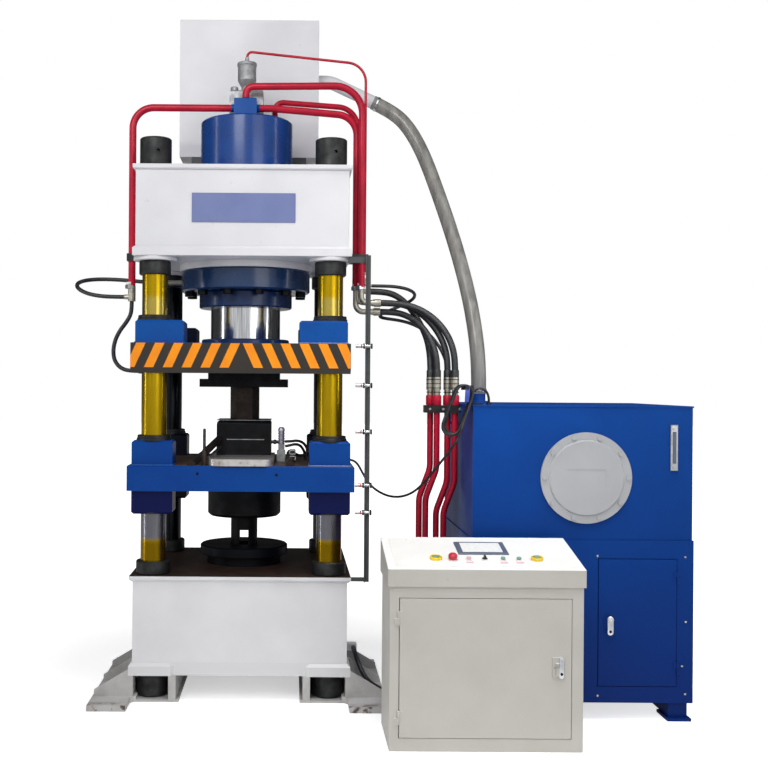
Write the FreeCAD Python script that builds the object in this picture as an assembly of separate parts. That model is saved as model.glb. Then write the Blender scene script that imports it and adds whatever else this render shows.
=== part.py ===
import FreeCAD, Part
import math
import os

# A four-column hydraulic press with its overhead tank, its hydraulic power unit and its control console.
# Millimetres, +Z up, +X to the right and +Y to the back. The origin is on the press axis at floor level.

os.makedirs("parts", exist_ok=True)
V = FreeCAD.Vector

# fits
fit_gap = 0.3              # between pieces that seat on each other round a diameter
sliding_gap = 0.5          # round a column inside a guide bush
door_gap = 3               # round a door in its frame

# the press's outline
base_half_width = 560
half_depth = 500           # of the base, the table and both crossheads

# columns and their nuts
column_dia = 130
column_inset = 110         # from the base's sides to a column's axis
column_span_x = 2 * (base_half_width - column_inset)
column_span_y = 2 * (half_depth - column_inset)
nut_floor_gap = 15         # under the bottom nuts
column_low_inset = 7       # of a column's end inside its bottom nut
column_top_inset = 17      # of a column's end inside its top nut
nut_dia = 162
nut_bevel = 5
base_nut_dia = 174
base_nut_height = 68
upper_nut_height = 72
top_nut_height = 146
nut_hole_dia = 18
nut_hole_depth = 20

# feet
foot_height = 131
foot_plate_thick = 12
foot_plate_inner = base_half_width - 255
wing_thick = 30
wing_inner = base_half_width - 13
wing_outer = base_half_width + 178
wing_front = half_depth + 169
wing_back = 280            # the wings stop short of the base's back
wing_corner_radius = 30
inner_web_from = foot_plate_inner + 15
inner_web_thick = 37
outer_web_thick = 25
rib_thick = 16
rib_reach = 170
rib_tip_height = 31
rib_rise = 101             # from a rib's tip to its height above the outer web
rib_count = 3
rib_pitch = 287
column_nut_room = 3        # round the bottom nuts
anchor_hole_dia = 32
anchor_hole_y = 150        # in front of the press axis and behind it, between the ribs

# base and crosshead boxes
box_set_back = 15          # of the boxes behind their flanges, front and back
base_side_set_back = 18
base_height = 501
base_flange_thick = 28
pad_inner = base_half_width - 231
pad_length = 200
pad_height = 65
pad_bevel = 18
gland_box_size = 36
gland_box_depth = 60
crosshead_half_width = base_half_width - 6
crosshead_side_set_back = 14
crosshead_height = 462
crosshead_top_flange = 25
crosshead_bottom_flange = 50
flange_bevel = 12
daylight = 1617            # from the base top to the upper crosshead
column_pad_dia = 220
column_pad_height = 19

# main cylinder and ram
barrel_dia = 500
barrel_top_reach = 319     # above the upper crosshead
barrel_wall = 58
barrel_head_thick = 70
cylinder_flange_dia = barrel_dia + 200
cylinder_flange_thick = 113
cylinder_seat_dia = cylinder_flange_dia + 16
cylinder_seat_height = 36   # below the upper crosshead
gland_dia = barrel_dia + 5
gland_height = 86
lock_ring_dia = barrel_dia + 30
lock_ring_height = 34
ram_dia = barrel_dia - 2 * barrel_wall - 6
ram_flange_dia = ram_dia + 99
ram_flange_thick = 34
ram_overlap = 500          # length of ram inside the cylinder at rest
flange_bolt_count = 12
flange_bolt_circle = barrel_dia + 120
flange_bolt_across = 46
flange_bolt_head = 26
flange_bolt_turn = 15       # degrees from the press's right to the first bolt

# moving crosshead
slide_lift = 1051          # from the base top to its underside
slide_half_width = base_half_width - 8
slide_thick = 127
slide_edge_strip = 13      # thin strip below the front edge
slide_boss_width = 245
slide_boss_depth = 200
bush_bore_dia = 160
slide_port_x = -base_half_width  # left face of the hose port below the plate
slide_port_y = -175
slide_boss_height = 115
slide_boss_set_in = 15     # from the crosshead's side to a boss's
bush_dia = 177
bush_height = 27
bush_lip = 9
boss_bevel = 10

# tooling under the moving crosshead
holder_plate_width = 380
holder_plate_thick = 53
punch_plate_width = 470
punch_plate_thick = 43
punch_width = 155
punch_bevel = 34
punch_length = 175

# die table
table_lift = 429
table_half_width = base_half_width + 14
table_thick = 129
table_boss_width = 208
table_boss_height = 124
table_boss_depth = 164
table_under_boss = 119
die_plate_width = 330
die_plate_depth = 420
die_plate_thick = 34
die_width = 290
die_depth = 300
die_height = 186
die_cavity_gap = 10        # round the punch
die_edge_radius = 24
die_plate_nose = 14        # in front of the table's edge
guide_height = 26
guide_width = 44
guide_offset = 250
guide_set_back = 12

# lifting cylinder under the table
coupling_dia = 397
coupling_height = 172
rod_dia = 145
rod_window_width = 50
rod_window_height = 105
rod_window_top = 78        # below the coupling
lift_flange_dia = 475
lift_flange_thick = 53
lift_spigot_dia = 400
lift_spigot_height = 48
lift_barrel_dia = 360
lift_barrel_depth = 430
lift_stroke = 125

# valves on the cylinder
block_width = 120
block_depth = 120
block_height = 84
block_front = 235          # in front of the press axis
valve_width = 182
valve_depth = 150
valve_height = 157
valve_gap = 6              # behind the block
bell_neck_dia = 60
bell_dia = 101
bell_neck_height = 32
bell_taper_height = 36
bell_body_height = 79
bell_cap_height = 19
nipple_dia = 22
nipple_height = 30
valve_cap_dia = 42
valve_cap_height = 35

# overhead tank
tank_half_width = 400
tank_front = 300
tank_depth = 460
tank_height = 791
tank_sheet = 6
stand_height = 198
stand_beam = 60
stand_wall = 8
stand_nut_gap = 39         # beside the top nuts
suction_pipe_dia = 80
outlet_pipe_dia = 76
outlet_height = 481        # above the tank bottom
outlet_setback = 165       # behind the tank front
outlet_run = 74

# red steel pipes
pipe_dia = 38
rear_pipe_dia = 30
pilot_pipe_dia = 14
ram_pipe_x = base_half_width + 60
ram_pipe_y = -205
right_pipe_x = base_half_width + 34
right_pipe_y = -158
pipe_bend = 110
pipe_drop = 2120           # height where the pipes meet the hoses
left_pipe_x = -base_half_width - 40
rear_pipe_x = base_half_width + 40
rear_pipe_y = -115
rear_pipe_drop = 2165      # height of its lower end
pilot_pipe_x = base_half_width + 82
pilot_pipe_y = -128
pilot_pipe_drop = 2185

# hoses and cables
hose_dia = 34
ferrule_dia = 42
ferrule_length = 92
small_hose_dia = 22
drain_hose_dia = 18
fill_hose_dia = 82
cable_dia = 12
console_cable_dia = 25

# sensor rail
rail_x = base_half_width + 77
rail_size = 26
rail_thick = 4
rail_bottom_reach = 22     # below the base top
rail_top_reach = 8         # above the underside of the upper crosshead
sensor_dia = 18
sensor_length = 62
sensor_heights = [1798, 1600, 1367, 1098, 961]

# power unit
unit_left = base_half_width + 567
unit_width = 1056
unit_front = -750
unit_depth = 950
unit_top = 1511
unit_seam = 865
unit_bottom = 86
unit_sheet = 5
unit_lower_proud = 6
unit_top_lip = 8
unit_leg_width = 90
unit_foot_length = 160
unit_foot_thick = 14
cover_x = unit_left + 543
cover_z = 1164
cover_dia = 437
cover_ring_width = 36
cover_ring_thick = 14
cover_dome = 8
cover_bolt_count = 10
cover_bolt_across = 20
cover_bolt_head = 8
cover_recess_width = 187
cover_recess_height = 82
gauge_x = unit_left + 964
gauge_low = 1201
gauge_high = 1422
gauge_width = 36
gauge_proud = 14
unit_door_left = unit_left + 604
unit_door_right = unit_left + 983
unit_door_low = 164
unit_door_high = 778
unit_lock_inset = 48       # from the door opening's left edge
unit_lock_height = 466
door_thick = 18
hinge_dia = 10
hinge_height = 60
motor_dia = 250
motor_length = 380
pump_dia = 150
pump_length = 180
bell_housing_dia = 200
bell_housing_length = 90

# console
console_left = base_half_width + 130
console_width = 848
console_front = -1224
console_depth = 404
console_seam = 722
console_lip_top = 800
console_back_top = 880
console_sheet = 3
console_lip_proud = 9
lid_sheet = 3
lid_inset = 26
lid_skirt = 16
console_door_left = console_left + 40
console_door_right = console_left + 798
console_door_low = 58
console_door_high = 673
lock_proud = 16
console_lock_inset = 63    # from the door opening's right edge
console_lock_height = 372
touch_centre_x = console_left + 439
touch_width = 230
touch_near = 173           # along the sloped panel, from its front edge
touch_depth = 163
touch_proud = 6
button_row = 108           # along the sloped panel, from its front edge
start_left_x = console_left + 213
stop_x = console_left + 289
push_1_x = console_left + 361
selector_x = console_left + 432
push_2_x = console_left + 513
push_3_x = console_left + 584
start_right_x = console_left + 665
start_dia = 40
stop_dia = 40
push_dia = 22
bezel_dia = 30
bezel_thick = 4
stem_dia = 16
stem_length = 24
panel_inset = 90
panel_thick = 4
panel_low = 90
panel_high = 640
device_inset = 80
relay_pitch = 50
contactor_pitch = 90

# heights that follow from the sizes above
base_bottom = foot_height
base_top = base_bottom + base_height
head_bottom = base_top + daylight
head_top = head_bottom + crosshead_height
cylinder_low = head_bottom - cylinder_seat_height - cylinder_flange_thick
slide_bottom = base_top + slide_lift
slide_top = slide_bottom + slide_thick
table_bottom = base_top + table_lift
table_top = table_bottom + table_thick
barrel_top = head_top + barrel_top_reach
barrel_bore_radius = barrel_dia / 2 - barrel_wall
tank_bottom = head_top + stand_height
stand_x = column_span_x / 2 - nut_dia / 2 - stand_nut_gap - stand_beam / 2
punch_plate_bottom = slide_bottom - holder_plate_thick - punch_plate_thick
column_places = [
    (sx * column_span_x / 2, sy * column_span_y / 2) for sx in (-1, 1) for sy in (-1, 1)
]

# Routes of the hoses and cables, as the corner points that their bends round off. They are drawn
# beside a base of one width, and move outward with a wider one.
drawn_half_width = 560
widening = base_half_width - drawn_half_width
hose_a_z = 2037
hose_b_z = 1994
hose_c_z = 2106
hose_e_z = 2045
hose_start_x = 723
ferrule_top = 1646

pressure_routes = {
    "pressure_hose_1": [
        (hose_start_x, -205, hose_a_z), (793, -205, hose_a_z), (882, -215, 2024), (957, -240, 1989),
        (1018, -272, 1936), (1063, -305, 1870), (1090, -330, 1797), (1100, -340, 1722),
        (1100, -340, ferrule_top),
    ],
    "pressure_hose_2": [
        (hose_start_x, -158, hose_b_z), (786, -158, hose_b_z), (848, -178, 1981), (900, -218, 1949),
        (943, -264, 1903), (976, -305, 1844), (998, -332, 1779), (1007, -340, 1712),
        (1007, -340, ferrule_top),
    ],
    "pressure_hose_3": [
        (655, -115, hose_c_z), (727, -115, hose_c_z), (797, -107, 2095), (854, -98, 2060),
        (899, -100, 2010), (933, -124, 1951), (957, -168, 1895), (971, -220, 1838),
        (977, -268, 1776), (978, -300, 1708), (978, -300, ferrule_top),
    ],
    "pressure_hose_4": [
        (hose_start_x, -115, hose_e_z), (788, -115, hose_e_z), (858, -138, 2033), (925, -175, 1998),
        (982, -218, 1943), (1027, -258, 1875), (1057, -288, 1798), (1067, -300, 1718),
        (1067, -300, ferrule_top),
    ],
}
drain_hose_route = [
    (680, -128, 2135), (740, -128, 2135), (810, -122, 2133), (880, -100, 2122), (925, -50, 2102),
    (922, 15, 2076), (870, 58, 2048), (802, 62, 2020), (748, 24, 1996), (730, -34, 1976),
    (756, -80, 1964), (816, -92, 1956), (880, -78, 1944), (944, -76, 1919), (1001, -108, 1874),
    (1041, -158, 1814), (1068, -208, 1746), (1078, -240, 1674), (1078, -240, 1606),
]
left_loop_route = [
    (-640, -175, 2063), (-700, -175, 2063), (-770, -180, 2066), (-840, -170, 2080),
    (-895, -130, 2108), (-918, -60, 2140), (-898, 15, 2165), (-840, 60, 2178), (-760, 75, 2180),
    (-670, 70, 2175), (-580, 58, 2166), (-500, 50, 2160), (-430, 50, 2160),
]
crosshead_hose_route = [
    (-600, -175, 2040), (-600, -175, 2005), (-606, -175, 1965), (-630, -175, 1925),
    (-665, -175, 1880), (-690, -175, 1825), (-698, -175, 1768), (-688, -175, 1718),
    (-655, -175, 1682), (-610, -175, 1669), (-560, -175, 1669),
]
fill_route = [
    (724, 465, 3273), (824, 465, 3226.2), (920, 440, 3140), (1010, 390, 2970), (1095, 300, 2700),
    (1175, 180, 2400), (1235, 70, 2110), (1264, -10, 1870), (1275, -35, 1690), (1275, -35, 1560),
]
console_cable_route = [
    (728, -806, 150), (728, -745, 150), (731, -683, 138), (736, -623, 112), (741, -567, 80),
    (745, -512, 56), (745, -458, 46), (730, -408, 44), (703, -366, 48), (672, -330, 58),
    (646, -290, 80), (627, -252, 114), (612, -218, 150), (603, -170, 172), (600, -116, 178),
    (600, -62, 178),
]
table_cable_route = [
    (548, -190, 1206), (580, -190, 1206), (609, -192, 1184), (633, -199, 1138), (664, -225, 1084),
    (708, -262, 1046), (765, -318, 1024), (824, -380, 1028), (880, -444, 1060), (925, -508, 1116),
    (960, -578, 1176), (994, -648, 1236), (1022, -714, 1286), (1043, -766, 1332), (1062, -785, 1380),
    (1079, -775.9, 1430), (1097, -772, 1481),
]
hank_centre = (1055 + widening, 1485)  # X and Z of the middle of its loops
hank_lean = 0.332              # sideways share of its long direction
hank_straight = 84             # half of a loop's straight side
hank_bend = 41                 # half of a loop's width
hank_front_y = -765
hank_pitch = 15
hank_steps = [0, -7, 5, -4, 3]  # how much longer each loop is than the first
hank_tail = [
    (1132, -690, 1580), (1176, -690, 1593), (1213, -690, 1566), (1213, -690, 1523),
]


def moved(route, shift):
    return [(x + shift, y, z) for x, y, z in route]


pressure_routes = {name: moved(route, widening) for name, route in pressure_routes.items()}
drain_hose_route = moved(drain_hose_route, widening)
left_loop_route = moved(left_loop_route, -widening)
crosshead_hose_route = moved(crosshead_hose_route, -widening)
console_cable_route = moved(console_cable_route, widening)
table_cable_route = moved(table_cable_route, widening)
hank_tail = moved(hank_tail, widening)


def block(x0, x1, y0, y1, z0, z1):
    return Part.makeBox(x1 - x0, y1 - y0, z1 - z0, V(x0, y0, z0))


def rod(radius, start, end):
    a = V(*start)
    b = V(*end)
    return Part.makeCylinder(radius, (b - a).Length, a, b - a)


def fused(shapes):
    first = shapes[0]
    rest = shapes[1:]
    if not rest:
        return first
    return first.fuse(rest).removeSplitter()


def prism(points, direction):
    """A closed outline of straight edges, pushed along a direction."""
    wire = Part.makePolygon([V(*p) for p in points] + [V(*points[0])])
    return Part.Face(wire).extrude(V(*direction))


def turned(profile, x, y):
    """A closed outline of (radius, height) points, turned about a vertical axis."""
    points = [V(r, 0, z) for r, z in profile]
    face = Part.Face(Part.makePolygon(points + [points[0]]))
    solid = face.revolve(V(0, 0, 0), V(0, 0, 1), 360)
    solid.translate(V(x, y, 0))
    return solid


def washer(outer_dia, inner_dia, x, y, low, high, bevel):
    return turned(
        [
            (inner_dia / 2, low),
            (outer_dia / 2 - bevel, low),
            (outer_dia / 2, low + bevel),
            (outer_dia / 2, high - bevel),
            (outer_dia / 2 - bevel, high),
            (inner_dia / 2, high),
        ],
        x,
        y,
    )


def hexagon(across, x, y, low, high):
    r = across / math.sqrt(3)
    turns = [math.radians(60 * i) for i in range(6)]
    points = [(x + r * math.cos(a), y + r * math.sin(a), low) for a in turns]
    return prism(points, (0, 0, high - low))


def bevelled(solid, size, axis, at):
    """Bevels the straight edges that lie in the plane axis = at."""
    edges = []
    for edge in solid.Edges:
        ends = [getattr(v.Point, axis) for v in edge.Vertexes]
        if len(ends) == 2 and max(abs(e - at) for e in ends) < 1e-6:
            edges.append(edge)
    return solid.makeChamfer(size, edges)


def rounded_path(points, radii):
    """Straight runs joined by tangent arcs, one radius for each inner point."""
    route = [V(*p) for p in points]
    edges = []
    here = route[0]
    for i in range(1, len(route) - 1):
        into = (route[i] - route[i - 1]).normalize()
        out = (route[i + 1] - route[i]).normalize()
        turn = into.getAngle(out)
        back = radii[i - 1] * math.tan(turn / 2)
        start = route[i] - into * back
        end = route[i] + out * back
        middle_dir = (out - into).normalize()
        centre = route[i] + middle_dir * (radii[i - 1] / math.cos(turn / 2))
        middle = centre - middle_dir * radii[i - 1]
        if (start - here).Length > 1e-4:
            edges.append(Part.LineSegment(here, start).toShape())
        edges.append(Part.Arc(start, middle, end).toShape())
        here = end
    edges.append(Part.LineSegment(here, route[-1]).toShape())
    return Part.Wire(edges)


def swept(wire, dia):
    start = wire.Edges[0].valueAt(wire.Edges[0].FirstParameter)
    along = wire.Edges[0].tangentAt(wire.Edges[0].FirstParameter)
    circle = Part.Wire(Part.Circle(start, along, dia / 2).toShape())
    return wire.makePipeShell([circle], True, False)


def bent_pipe(points, dia, bend):
    return swept(rounded_path(points, [bend] * (len(points) - 2)), dia)


def free_radii(points):
    """The largest bend that each pair of runs leaves room for."""
    route = [V(*p) for p in points]
    radii = []
    for i in range(1, len(route) - 1):
        a = route[i] - route[i - 1]
        b = route[i + 1] - route[i]
        turn = a.getAngle(b)
        radii.append(0.45 * min(a.Length, b.Length) / math.tan(turn / 2))
    return radii


def hose(name, points, dia):
    radii = free_radii(points)
    wire = rounded_path(points, radii)
    solid = swept(wire, dia)
    expected = math.pi * dia * dia / 4 * wire.Length
    print(
        "%s: length %.0f mm, radii %s mm, volume ratio %.4f"
        % (name, wire.Length, [round(r) for r in radii], solid.Volume / expected)
    )
    return solid


def least_gap(wire, dia, reach):
    """The least gap of a tube to itself, leaving out what lies within reach along it."""
    step = dia / 3
    points = wire.discretize(Distance=step)
    skip = int(reach / step)
    least = min(
        a.distanceToPoint(b) for i, a in enumerate(points) for b in points[i + skip:]
    )
    return least - dia


def hank_point(along, across):
    """X and Z of a place in the leaning plane of the hank's loops."""
    rise = math.sqrt(1 - hank_lean * hank_lean)
    x = hank_centre[0] + along * hank_lean + across * rise
    z = hank_centre[1] + along * rise - across * hank_lean
    return x, z


def cable_hank():
    """Loops of spare cable, wound front to back, each climbing one pitch along its right side."""
    r = hank_bend
    half = r / math.sqrt(3)
    y = hank_front_y
    route = [table_cable_route[-1]]
    top = hank_straight + half

    def corner(along, across):
        x, z = hank_point(along, across)
        route.append((x, y, z))

    for step in hank_steps:
        low = -hank_straight - step - half
        corner(top, r)
        corner(top + half, 0)
        corner(top, -r)
        corner(low, -r)
        corner(low - half, 0)
        corner(low, r)
        y += hank_pitch
    route += hank_tail
    wire = rounded_path(route, free_radii(route))
    gap = least_gap(wire, cable_dia, 2 * hank_straight)
    print("cable_hank: %d loops, least gap %.1f mm" % (len(hank_steps), gap))
    return route


def on_panel(solid):
    """Carries a solid from flat (x, distance up the slope, height) onto the console's sloped top."""
    rise = math.atan2(console_back_top - console_lip_top, console_depth)
    solid = solid.copy()
    solid.rotate(V(0, 0, 0), V(1, 0, 0), math.degrees(rise))
    solid.translate(V(0, console_front, console_lip_top))
    return solid


def save(name, solids):
    shape = Part.makeCompound(solids) if len(solids) > 1 else solids[0]
    shape.exportStep("parts/%s.step" % name)
    bad = [s for s in solids if not s.isValid() or len(s.Solids) != 1]
    if bad:
        print("%s: %d pieces are not one valid solid" % (name, len(bad)))


def column_bores(dia, low, high):
    return [rod(dia / 2, (x, y, low), (x, y, high)) for x, y in column_places]


# ---- base, feet and columns ----


def base_frame():
    """A welded box under a thick top plate, with a pad round each lower corner and a cable gland box."""
    w = base_half_width - base_side_set_back
    d = half_depth - box_set_back
    plate_low = base_top - base_flange_thick
    box = block(-w, w, -d, d, base_bottom, plate_low)
    plate = block(-base_half_width, base_half_width, -half_depth, half_depth, plate_low, base_top)
    plate = bevelled(plate, flange_bevel, "z", plate_low)
    holes = column_bores(column_dia + fit_gap, base_bottom - 1, base_top + 1)
    depth = lift_barrel_depth + 2
    holes.append(rod((lift_barrel_dia + fit_gap) / 2, (0, 0, base_top - depth), (0, 0, base_top + 1)))
    pieces = [box.cut(holes), plate.cut(holes)]
    for sx in (-1, 1):
        for sy in (-1, 1):
            plan = [
                (sx * pad_inner, sy * (half_depth - pad_length)),
                (sx * base_half_width, sy * (half_depth - pad_length)),
                (sx * base_half_width, sy * half_depth),
                (sx * (pad_inner + pad_bevel), sy * half_depth),
                (sx * pad_inner, sy * (half_depth - pad_bevel)),
            ]
            pad = prism([(x, y, base_bottom) for x, y in plan], (0, 0, pad_height))
            pieces.append(bevelled(pad, pad_bevel, "z", base_bottom + pad_height).cut(box))
    end_x, end_y, end_z = console_cable_route[-1]
    r = gland_box_size / 2
    pieces.append(block(w, end_x + r, end_y, end_y + gland_box_depth, end_z - r, end_z + r))
    return pieces


def rib(y):
    """A gusset on the wing, against the web and, where no pad is in its way, the base's side."""
    web = base_half_width
    tip = web + rib_reach
    beside_pad = y < -half_depth + pad_length
    inner = web if beside_pad else web - base_side_set_back
    low = wing_thick + rib_tip_height
    outline = [(web, wing_thick), (tip, wing_thick), (tip, low)]
    outline.append((inner, low + rib_rise * (tip - inner) / rib_reach))
    if not beside_pad:
        outline += [(inner, foot_height), (web, foot_height)]
    return prism([(x, y, z) for x, z in outline], (0, rib_thick, 0))


def foot(side):
    """The welded plates of one foot: a wing that reaches outward, a sole, two webs and the ribs."""
    r = wing_corner_radius
    x1 = wing_inner
    x2 = wing_outer
    web = base_half_width
    y1 = half_depth
    bend = r * (1 - math.sqrt(0.5))
    corners = [
        (x1, -y1 - r), (x1, -wing_front), (x2, -wing_front), (x2, wing_back), (web, wing_back),
        (web, y1), (x1 - r, y1), (x1 - r, -y1),
    ]
    wing_line = []
    for (ax, ay), (bx, by) in zip(corners, corners[1:]):
        wing_line.append(Part.LineSegment(V(ax, ay, 0), V(bx, by, 0)).toShape())
    fillet = Part.Arc(V(x1 - r, -y1, 0), V(x1 - bend, -y1 - bend, 0), V(x1, -y1 - r, 0))
    wing_line.append(fillet.toShape())
    wing = Part.Face(Part.Wire(wing_line)).extrude(V(0, 0, wing_thick))
    hole_x = (wing_inner + wing_outer) / 2
    nut_room = nut_dia / 2 + column_nut_room
    holes = []
    for sy in (-1, 1):
        y = sy * anchor_hole_y
        holes.append(rod(anchor_hole_dia / 2, (hole_x, y, -1), (hole_x, y, wing_thick + 1)))
        x = column_span_x / 2
        y = sy * column_span_y / 2
        holes.append(rod(nut_room, (x, y, foot_plate_thick), (x, y, wing_thick + 1)))
    inner = inner_web_from + inner_web_thick
    plates = [
        wing.cut(holes),
        block(foot_plate_inner, x1 - r, -y1, y1, 0, foot_plate_thick),
        block(inner_web_from, inner, -y1, y1, foot_plate_thick, foot_height),
        block(web - outer_web_thick, web, -y1, y1, wing_thick, foot_height),
    ]
    plates += [rib(-y1 + i * rib_pitch) for i in range(rib_count)]
    if side < 0:
        plates = [plate.mirror(V(0, 0, 0), V(1, 0, 0)) for plate in plates]
    return plates


def columns():
    low = nut_floor_gap + column_low_inset
    high = head_top + top_nut_height - column_top_inset
    pieces = []
    for x, y in column_places:
        pieces.append(washer(column_dia, 0, x, y, low, high, 6))
    return pieces


def column_nuts():
    bore = column_dia + fit_gap
    pieces = []
    for x, y in column_places:
        pieces.append(washer(nut_dia - 2, bore, x, y, nut_floor_gap, base_bottom, nut_bevel))
        pieces.append(washer(base_nut_dia, bore, x, y, base_top, base_top + base_nut_height, nut_bevel))
        under = head_bottom - column_pad_height
        pieces.append(washer(nut_dia, bore, x, y, under - upper_nut_height, under, nut_bevel))
        nut = washer(nut_dia, bore, x, y, head_top, head_top + top_nut_height, nut_bevel)
        middle = head_top + top_nut_height / 2
        holes = []
        for i in range(4):
            a = math.radians(90 * i - 75)
            start = (x + nut_dia / 2 * math.cos(a), y + nut_dia / 2 * math.sin(a), middle)
            depth = nut_dia / 2 - nut_hole_depth
            end = (x + depth * math.cos(a), y + depth * math.sin(a), middle)
            holes.append(rod(nut_hole_dia / 2, start, end))
        pieces.append(nut.cut(holes))
    return pieces


# ---- upper crosshead and main cylinder ----


def upper_crosshead():
    """A welded box between two flange plates, with a round seat for each upper nut."""
    w = crosshead_half_width - crosshead_side_set_back
    d = half_depth - box_set_back
    low_top = head_bottom + crosshead_bottom_flange
    high_low = head_top - crosshead_top_flange
    box = block(-w, w, -d, d, low_top, high_low)
    flange_w = crosshead_half_width
    low = block(-flange_w, flange_w, -half_depth, half_depth, head_bottom, low_top)
    high = block(-flange_w, flange_w, -half_depth, half_depth, high_low, head_top)
    low = bevelled(low, flange_bevel, "z", low_top)
    high = bevelled(high, flange_bevel / 2, "z", high_low)
    pad_low = head_bottom - column_pad_height
    holes = column_bores(column_dia + fit_gap, pad_low - 1, head_top + 1)
    seat_low = head_bottom - cylinder_seat_height
    holes.append(rod((barrel_dia + fit_gap) / 2, (0, 0, seat_low - 1), (0, 0, head_top + 1)))
    pads = [rod(column_pad_dia / 2, (x, y, pad_low), (x, y, head_bottom)) for x, y in column_places]
    pads.append(rod(cylinder_seat_dia / 2, (0, 0, seat_low), (0, 0, head_bottom)))
    return [solid.cut(holes) for solid in [box, low, high] + pads]


def main_cylinder():
    r = barrel_dia / 2
    flange_r = cylinder_flange_dia / 2
    low = cylinder_low
    flange_top = head_bottom - cylinder_seat_height
    bevel = 8
    return turned(
        [
            (barrel_bore_radius, low),
            (flange_r - bevel, low),
            (flange_r, low + bevel),
            (flange_r, flange_top - bevel),
            (flange_r - bevel, flange_top),
            (r, flange_top),
            (r, barrel_top - bevel),
            (r - bevel, barrel_top),
            (0, barrel_top),
            (0, barrel_top - barrel_head_thick),
            (barrel_bore_radius, barrel_top - barrel_head_thick),
        ],
        0,
        0,
    )


def cylinder_rings():
    top = cylinder_low
    gland = washer(gland_dia, ram_dia + 2 * sliding_gap, 0, 0, top - gland_height, top, 6)
    ring_top = head_top + lock_ring_height
    lock_ring = washer(lock_ring_dia, barrel_dia + fit_gap, 0, 0, head_top, ring_top, 4)
    return [gland, lock_ring]


def round_of(count, circle_dia, start_deg):
    turns = [math.radians(start_deg + 360 * i / count) for i in range(count)]
    return [(circle_dia / 2 * math.cos(a), circle_dia / 2 * math.sin(a)) for a in turns]


def cylinder_bolts():
    low = cylinder_low - flange_bolt_head
    places = round_of(flange_bolt_count, flange_bolt_circle, flange_bolt_turn)
    return [hexagon(flange_bolt_across, x, y, low, cylinder_low) for x, y in places]


def ram():
    top = cylinder_low + ram_overlap
    return washer(ram_dia, 0, 0, 0, slide_top, top, 6)


def ram_flange():
    top = slide_top + ram_flange_thick
    return washer(ram_flange_dia, ram_dia + fit_gap, 0, 0, slide_top, top, 5)


# ---- valves, overhead tank and steel pipes ----

block_y = -block_front + block_depth / 2
valve_front = -block_front + block_depth + valve_gap
bell_y = valve_front + valve_depth / 2
valve_top = barrel_top + valve_height
bell_top = valve_top + bell_neck_height + bell_taper_height + bell_body_height + bell_cap_height
block_top = barrel_top + block_height
port_height = barrel_top + block_height / 2


def valve_block():
    x = block_width / 2
    body = block(-x, x, -block_front, -block_front + block_depth, barrel_top, block_top)
    body = bevelled(body, 4, "z", block_top)
    port = rod(16, (0, block_y, block_top), (0, block_y, block_top + 14))
    left = rod(21, (-x - 16, block_y, port_height), (-x, block_y, port_height))
    right = rod(21, (x, block_y, port_height), (x + 16, block_y, port_height))
    return fused([body, port, left, right])


def prefill_valve():
    x = valve_width / 2
    body = block(-x, x, valve_front, valve_front + valve_depth, barrel_top, valve_top)
    body = bevelled(body, 6, "z", valve_top)
    z1 = valve_top + bell_neck_height
    z2 = z1 + bell_taper_height
    z3 = z2 + bell_body_height
    neck = bell_neck_dia / 2
    bell = bell_dia / 2
    profile = [
        (0, valve_top - 1),
        (neck, valve_top - 1),
        (neck, z1),
        (bell, z2),
        (bell, z3),
        (bell + 3, z3 + 3),
        (bell + 3, bell_top - 3),
        (bell, bell_top),
        (nipple_dia / 2, bell_top),
        (nipple_dia / 2, bell_top + nipple_height),
        (0, bell_top + nipple_height),
    ]
    cap_x = -x + valve_cap_dia / 2 + 2
    cap = washer(valve_cap_dia, 0, cap_x, bell_y, valve_top - 1, valve_top + valve_cap_height, 4)
    return fused([body, turned(profile, 0, bell_y), cap])


def overhead_tank():
    w = tank_half_width
    y1 = tank_front + tank_depth
    z0 = tank_bottom
    z1 = tank_bottom + tank_height
    t = tank_sheet
    outer = block(-w, w, tank_front, y1, z0, z1)
    inner = block(-w + t, w - t, tank_front + t, y1 - t, z0 + t, z1 - t)
    return outer.cut(inner)


def tank_stand():
    """Two trestles of channel section: a rail on the crosshead, a longer one under the tank, two legs."""
    b = stand_beam
    leg_low = head_top + b
    leg_high = tank_bottom - b
    back = half_depth
    pieces = []
    for side in (-1, 1):
        x = side * stand_x
        low = block(x - b / 2, x + b / 2, tank_front, back, head_top, leg_low)
        high = block(x - b / 2, x + b / 2, tank_front, tank_front + tank_depth, leg_high, tank_bottom)
        front_leg = block(x - b / 2, x + b / 2, tank_front, tank_front + b, leg_low, leg_high)
        back_leg = block(x - b / 2, x + b / 2, back - b, back, leg_low, leg_high)
        brace = prism(
            [
                (x - stand_wall / 2, back, leg_high),
                (x - stand_wall / 2, back, leg_low),
                (x - stand_wall / 2, tank_front + tank_depth - b, leg_high),
            ],
            (stand_wall, 0, 0),
        )
        pieces.append(fused([low, high, front_leg, back_leg, brace]))
    gap = stand_x - b / 2
    pieces.append(block(-gap, gap, tank_front, tank_front + b, leg_high, tank_bottom))
    return pieces


outlet_y = tank_front + outlet_setback
outlet_z = tank_bottom + outlet_height
suction_z = barrel_top + 80


def tank_pipes():
    suction_back = tank_front
    suction = rod(suction_pipe_dia / 2, (0, valve_front + valve_depth, suction_z), (0, suction_back, suction_z))
    route = [
        (tank_half_width, outlet_y, outlet_z),
        (tank_half_width + outlet_run, outlet_y, outlet_z),
        fill_route[0],
    ]
    return [suction, bent_pipe(route, outlet_pipe_dia, 160)]


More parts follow.
